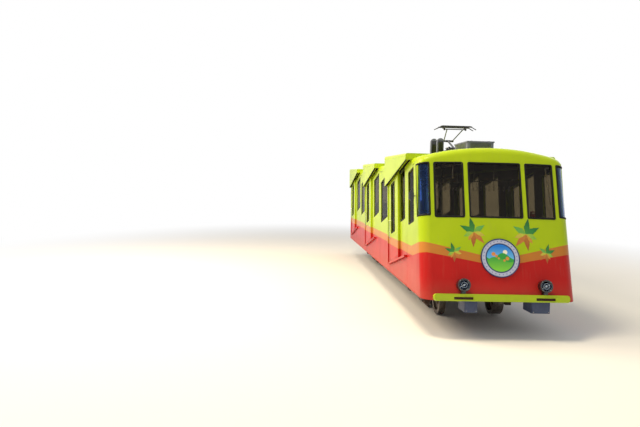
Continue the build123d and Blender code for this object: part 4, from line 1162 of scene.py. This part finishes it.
for side in (-1, 1):
    x = side * underSizes["pipeX"]
    for y in members:
        block(clips, around(x, 0.030), around(y, 0.015), (under - 0.034, under - 0.030), trackToRow, 0.001)
        for edge in around(x, 0.018):
            block(clips, around(edge, 0.002), around(y, 0.015), (under - 0.034, under + 0.002), trackToRow)
        heads = [(boltX, boltY, under - 0.003)
                 for boltX in around(x + side * 0.010, 0.075) for boltY in around(y - 0.010, 0.022)]
        bolts += studs(trackToRow, heads, (0, 0, -1))
    heads = [(side * underSizes["soleX"], y, z) for y in splices for z in underSizes["spliceZ"]]
    bolts += studs(trackToRow, heads, (side, 0, 0))
finishMesh(clips, "pipeClips", "steelTube")
grow("frameBolts", "bolt", bolts, "castSteel", radius=0.013, height=0.012, sides=6)
covers, screws = bmesh.new(), []
for x0, x1 in underSizes["boxes"]:
    block(covers, (x0 + 0.012, x1 - 0.012), underSizes["boxFace"], underSizes["boxZ"], trackToRow, 0.0015)
    heads = [(x, underSizes["screwY"], z) for x in (x0 + 0.026, x1 - 0.026) for z in underSizes["screwZ"]]
    screws += studs(trackToRow, heads, (0, -1, 0))
    for sign, ys in underSizes["boxSides"]:
        for xs in ((x0, x0 - 0.003), (x1, x1 + 0.003)):
            block(covers, onSide(sign, xs), ys, underSizes["boxZ"], trackToRow, 0.001)
finishMesh(covers, "boxCovers", "blueGrey")
grow("boxScrews", "bolt", screws, "steelTube", radius=0.008, height=0.005, sides=6)
anchorX, anchorY = underSizes["anchor"]
bolts = []
for side in (-1, 1):
    heads = [(side * anchorX, y, z) for y in around(anchorY, 0.035) for z in underSizes["anchorZ"]]
    bolts += studs(trackToRow, heads, (side, 0, 0))
grow("anchorBolts", "bolt", bolts, "castSteel", radius=0.010, height=0.010, sides=6)


# Bogies: axle-box covers, rubber springs, pivot ring, frame flanges, clamp cap and jaw pads.
bogieSizes = {
    "places": (("front", 2.900), ("rear", 10.600)), "halfBase": 0.750, "railX": 0.5635, "axle": 0.300,
    "box": 0.880, "cover": 0.080, "sideX": (0.774, 0.866),
    "springZ": (0.404, 0.417, 0.430), "springTall": 0.008,
    "flanges": (((-0.996, 0.996), (0.532, 0.544)), ((-0.620, -0.300), (0.436, 0.448)),
                ((0.300, 0.620), (0.436, 0.448)), ((-0.160, 0.160), (0.436, 0.448))),
    "sideBolts": (11, -0.92, 0.184), "sideBolt": (0.863, 0.490), "topBolts": (0.26, 0.16, 0.543),
    "ring": ((0.158, 0.566), (0.176, 0.566), (0.180, 0.572), (0.180, 0.592), (0.174, 0.598), (0.158, 0.598),
             (0.158, 0.566)),
    "clamp": (-0.3035, 0.235), "jawBolts": ((-0.125, 0.125), (0.030, 0.100)),
    "clampCap": ((0, -0.004), (0.061, -0.004), (0.063, 0.000), (0.063, 0.012), (0.058, 0.017), (0.022, 0.018),
                 (0.020, 0.030), (0, 0.030)),
    "clampBand": ((0.054, -0.170), (0.060, -0.168), (0.060, -0.150), (0.054, -0.148), (0.054, -0.170)),
    "hub": (0.0555, 0.118), "tyreBand": ((0.222, 0), (0.238, 0), (0.238, 0.014), (0.222, 0))}
halfBase, railX, axle = bogieSizes["halfBase"], bogieSizes["railX"], bogieSizes["axle"]
r, (inner, outer) = bogieSizes["cover"], bogieSizes["hub"]
axleCover = [(0, -0.002), (r, -0.002), (r + 0.004, 0.003), (r + 0.002, 0.012), (r - 0.020, 0.018),
             (r - 0.028, 0.028), (0, 0.030)]
wheelHub = [(inner, 0), (outer, 0), (outer, 0.010), (outer - 0.012, 0.016), (inner + 0.012, 0.016),
            (inner + 0.006, 0.026), (inner, 0.026), (inner, 0)]
for end, bogieY in bogieSizes["places"]:
    body = f"{end}_bogie"
    place = trackToRow @ Matrix.Translation((0, bogieY, 0))
    bm, rubber, bolts = bmesh.new(), bmesh.new(), []
    for side in (-1, 1):
        sideX = onSide(side, bogieSizes["sideX"])
        for y in (-halfBase, halfBase):
            cap = place @ pointing((side * bogieSizes["box"], y, axle), (side, 0, 0), (0, 1, 0))
            lathe(bm, axleCover, cap, 28)
            bolts += boltCircle(cap, 6, 0.068, 0.015)
            for middle in around(y, 0.070):
                for z in bogieSizes["springZ"]:
                    zs = z, z + bogieSizes["springTall"]
                    block(rubber, sideX, around(middle, 0.034), zs, place, 0.003)
        for ys, zs in bogieSizes["flanges"]:
            block(bm, sideX, ys, zs, place, 0.003)
        (count, first, step), (x, z) = bogieSizes["sideBolts"], bogieSizes["sideBolt"]
        bolts += studs(place, [(side * x, first + n * step, z) for n in range(count)], (side, 0, 0))
    lathe(bm, bogieSizes["ring"], place, 40)
    (x, y, z), angles = bogieSizes["topBolts"], [math.radians(30 + 60 * k) for k in range(6)]
    bolts += studs(place, [(x * math.cos(a), y * math.sin(a), z) for a in angles], (0, 0, 1))
    finishMesh(bm, f"bogieFittings_{end}", "chassisPaint", body)
    finishMesh(rubber, f"bogieRubbers_{end}", "rubber", body)
    bm = bmesh.new()
    clampX, clampZ = bogieSizes["clamp"]
    cap = place @ pointing((clampX, 0, clampZ), (1, 0, 0), (0, 1, 0))
    lathe(bm, bogieSizes["clampCap"], cap, 28)
    lathe(bm, bogieSizes["clampBand"], cap, 28)
    bolts += boltCircle(cap, 6, 0.046, 0.019)
    ys, zs = bogieSizes["jawBolts"]
    for out in (-1, 1):
        # a pad on the inside of each jaw, and four bolts outside it
        pad, jaw = -railX + out * 0.045, -railX + out * 0.075
        block(bm, (pad + out * 0.001, pad - out * 0.008), (-0.130, 0.130), (-0.006, 0.048), place, 0.002)
        bolts += studs(place, [(jaw + out * 0.003, y, z) for y in ys for z in zs], (out, 0, 0))
    finishMesh(bm, f"clampFittings_{end}", "castSteel", body)
    grow(f"bogieBolts_{end}", "bolt", bolts, "castSteel", body, radius=0.011, height=0.012, sides=6)
    for m, y in enumerate((-halfBase, halfBase), 1):
        wheels, bolts, body = bmesh.new(), [], f"wheelset_{end}_{m}"
        for x in (-railX, railX):
            for out in (-1, 1):
                hub = place @ pointing((x + out * 0.019, y, axle), (out, 0, 0), (0, 1, 0))
                lathe(wheels, wheelHub, hub, 32)
                lathe(wheels, bogieSizes["tyreBand"], hub, 40)
                bolts += boltCircle(hub, 8, 0.094, 0.019)
        finishMesh(wheels, f"wheelHubs_{end}_{m}", "castSteel", body)
        grow(f"wheelBolts_{end}_{m}", "bolt", bolts, "wheelSteel", body, radius=0.010, height=0.010, sides=6)
print("stage: underframe and bogies")


# Cabin lining: the inner faces of the shell, a hair off the steel, so windows show a lined room.
liningSizes = {"wall": 0.075, "room": 0.30, "lift": 0.0015,
               "shell": ("front_end_shell", "rear_end_shell", "side_panels_left", "side_panels_right",
                         "door_surrounds", "roof_skin")}
spots, faces = [], []
for name in liningSizes["shell"]:
    mesh, first = nodes[name].data, len(spots)
    spots += [vert.co.copy() for vert in mesh.vertices]
    faces += [[first + n for n in polygon.vertices] for polygon in mesh.polygons]
shell = BVHTree.FromPolygons(spots, faces)
bm = bmesh.new()
for corners in faces:
    a, b, c = (spots[n] for n in corners[:3])
    facing = (b - a).cross(c - a)
    if facing.length < 1e-8:
        continue
    facing.normalize()
    middle = (a + b + c) / 3
    ahead = shell.ray_cast(middle + facing * 0.002, facing)[3]
    behind = shell.ray_cast(middle - facing * 0.002, -facing)[3]
    inward = facing.z < -0.8 or (ahead is not None and ahead > liningSizes["room"])
    if inward and behind is not None and behind < liningSizes["wall"]:
        bm.faces.new([bm.verts.new(spots[n] + facing * liningSizes["lift"]) for n in corners])
bmesh.ops.remove_doubles(bm, verts=bm.verts, dist=1e-5)
mesh = bpy.data.meshes.new("cabinLining")
bm.to_mesh(mesh)
bm.free()
placePiece("cabinLining", mesh, finish="lining")


# Cabin fittings: slats on the benches, tread nosings, pole collars, ceiling lamps, and grab rails
# with rings on moulded hangers.
cabin = {"tread": 1.0725, "treadStart": 0.020, "firstZ": 1.1182, "benchTreads": (3, 4, 5, 7, 8, 9),
         "benchX": (0.345, 1.221), "seat": (-0.455, 0.4425), "seatBack": (-0.0675, 0.500), "nosingX": 1.270,
         "lampX": 0.550, "lamps": (8, 1.30, 1.380, 1.15),  # count, first, step, length
         "railX": 0.620, "railZ": 2.700, "railY": (1.15, 12.40), "drops": (9, 1.22, 1.380),
         "rings": (36, 1.45, 0.290), "ringRadius": 0.045, "poles": (0.300, 2.720, 1.546),
         "collar": ((0.0165, 0), (0.040, 0), (0.042, 0.004), (0.040, 0.010), (0.024, 0.014), (0.022, 0.030),
                    (0.0165, 0.032), (0.0165, 0))}
rise = cabin["tread"] * tanSlope
seats, backs = [], []
for k in cabin["benchTreads"]:
    y, z = cabin["treadStart"] + (k + 1) * cabin["tread"] - 0.040, cabin["firstZ"] + k * rise
    for side in (-1, 1):
        xs = sorted(side * x for x in cabin["benchX"])
        for lines, (dy, dz), facing in ((seats, cabin["seat"], (0, 0.02, 1)),
                                        (backs, cabin["seatBack"], (0, -1, 0.106))):
            lines.append(guide(levelToRow, [(x, y + dy, z + dz) for x in xs], levelTurn(*facing)))
for name, lines, wide, step in (("benchSeatSlats", seats, 0.052, levelTurn(0, 0.0640, -0.00164)),
                                ("benchBackSlats", backs, 0.058, levelTurn(0, 0.0079, 0.0745))):
    steps = {"stepX": 0.0, "stepY": step.y, "stepZ": step.z}
    grow(name, "row", lines, "varnishedWood", width=wide, height=0.008, count=6, **steps)
bm = bmesh.new()
for k in range(1, 12):
    y, z = cabin["treadStart"] + k * cabin["tread"], cabin["firstZ"] + k * rise
    block(bm, around(0, cabin["nosingX"]), (y - 0.003, y + 0.042), (z - 0.028, z + 0.003), levelToRow, 0.0015)
finishMesh(bm, "treadNosings", "steelTube")
bm = bmesh.new()
poleX, poleY, poleZ = cabin["poles"]
for place in doorPlaces:
    for x in (-poleX, poleX):
        lathe(bm, cabin["collar"], place @ Matrix.Translation((x, poleY, poleZ)), 24)
finishMesh(bm, "poleCollars", "steelTube")
bm, rings, hangers, rails = bmesh.new(), [], [], []
ceiling, z, radius = roofHeight(cabin["lampX"], -0.050), cabin["railZ"], cabin["ringRadius"]
for side in (-1, 1):
    count, first, step, length = cabin["lamps"]
    for y in (first + n * step for n in range(count)):
        lampX = around(side * cabin["lampX"], 0.055)
        block(bm, lampX, (y, y + length), (ceiling - 0.046, ceiling - 0.008), trackToRow, 0.012)
    x = side * cabin["railX"]
    rails.append(guide(trackToRow, [(x, y, z) for y in cabin["railY"]], (0, 0, 1)))
    count, first, step = cabin["drops"]
    for y in (first + n * step for n in range(count)):
        rails.append(guide(trackToRow, [(x, y, z), (x, y, ceiling - 0.004)], (0, 1, 0)))
    count, first, step = cabin["rings"]
    for y in (first + n * step for n in range(count)):
        hangers.append(guide(trackToRow, [(x, y, z + 0.018), (x, y - 0.026, z - 0.130)], (1, 0, 0)))
        angles = [2 * math.pi * k / 12 for k in range(12)]
        ring = [(x, y - 0.061 + radius * math.sin(a), z - 0.172 + radius * math.cos(a)) for a in angles]
        rings.append(guide(trackToRow, ring, (1, 0, 0), True))
finishMesh(bm, "ceilingLamps", "lampDiffuser")
grow("cabinGrabRails", "strip", rails, "steelTube", width=0.030, height=0.030)
grow("grabRings", "strip", rings, "lampDiffuser", width=0.009, height=0.009, corners=5)
grow("ringHangers", "strip", hangers, "blackPaint", width=0.020, height=0.005, corners=4)


# Driving desks: an instrument pod with three dials, two handles on plinths, buttons, an alarm box
# on a stalk, and a coated handrail beside the corner pillar.
deskSizes = {"x": (0.150, 1.000), "y": 0.240, "height": 0.880, "lean": math.atan(0.080 / 0.330), "treads": 11,
             "handle": ((0, 0), (0.022, 0), (0.022, 0.008), (0.008, 0.014), (0.007, 0.090), (0.018, 0.098),
                        (0.022, 0.112), (0.018, 0.128), (0, 0.134)),
             "handrail": ((1.078, 0.250, 2.345), (1.048, 0.300, 2.365), (0.988, 0.345, 3.025),
                          (1.078, 0.306, 3.045))}
pods, dials, knobs, alarms = (bmesh.new() for _ in range(4))
buttons, handrails = [], []
farDesk = turnRound @ Matrix.Translation((0, 0, deskSizes["treads"] * rise - climb))
x0, x1 = deskSizes["x"]
y, top = deskSizes["y"], cabin["firstZ"] + deskSizes["height"]
for place in (levelToRow, levelToRow @ farDesk):
    deck = place @ Matrix.Translation((0, y, top)) @ Matrix.Rotation(-deskSizes["lean"], 4, "X")
    block(pods, (x0 + 0.250, x1 - 0.170), (0.020, 0.090), (-0.004, 0.085), deck, 0.008)
    block(pods, (x0 + 0.020, x0 + 0.200), (0.030, 0.200), (-0.004, 0.030), deck, 0.006)
    block(pods, (x1 - 0.150, x1 - 0.020), (0.030, 0.170), (-0.004, 0.026), deck, 0.006)
    for n in range(3):
        dial = deck @ pointing((x0 + 0.320 + n * 0.120, 0.090, 0.042), (0, 1, 0.15))
        lathe(dials, [(0.030, 0), (0.037, 0), (0.037, 0.008), (0.031, 0.008), (0.030, 0)], dial, 24)
        lathe(dials, [(0, 0.001), (0.031, 0.001), (0.031, 0.003), (0, 0.003)], dial, 24, 1)
        needle = dial @ Matrix.Rotation(math.radians(50 - 40 * n), 4, "Z")
        block(dials, (-0.001, 0.001), (-0.004, 0.024), (0.003, 0.004), needle, 0.0, 2)
    for x, z in ((x0 + 0.110, 0.030), (x1 - 0.085, 0.026)):
        lathe(knobs, deskSizes["handle"], deck @ pointing((x, 0.110, z), (0, -0.25, 1)), 20)
    stalk = deck @ pointing((0.640, 0.240, 0), (0, 0.24, 1))
    lathe(alarms, [(0.030, -0.004), (0.030, 0.006), (0.012, 0.010), (0.012, 0.235), (0, 0.235)], stalk, 16, 1)
    block(alarms, (0.755, 0.830), (y + 0.232, y + 0.300), (top + 0.155, top + 0.262), place, 0.010)
    block(alarms, (0.770, 0.815), (y + 0.228, y + 0.233), (top + 0.215, top + 0.245), place, 0.001, 2)
    handrails.append(guide(place, deskSizes["handrail"], place.to_3x3() @ Vector((0.55, 0.83, 0))))
    out = deck.to_3x3() @ Vector((0, 0, 1))
    buttons += studs(deck, [(x0 + 0.270 + n * 0.055, 0.150, 0.002) for n in range(6)], out)
finishMesh(pods, "deskPods", "deskGrey")
finishMesh(dials, "deskDials", "blackPaint", more=["lampDiffuser", "redRail"])
finishMesh(knobs, "deskHandles", "blackPaint")
finishMesh(alarms, "deskAlarms", "redRail", more=["blackPaint", "lampDiffuser"])
grow("cabHandrails", "strip", handrails, "lampDiffuser", width=0.024, height=0.024)
grow("deskButtons", "bolt", buttons, "redRail", radius=0.011, height=0.010, sides=16)
print("stage: cabin")
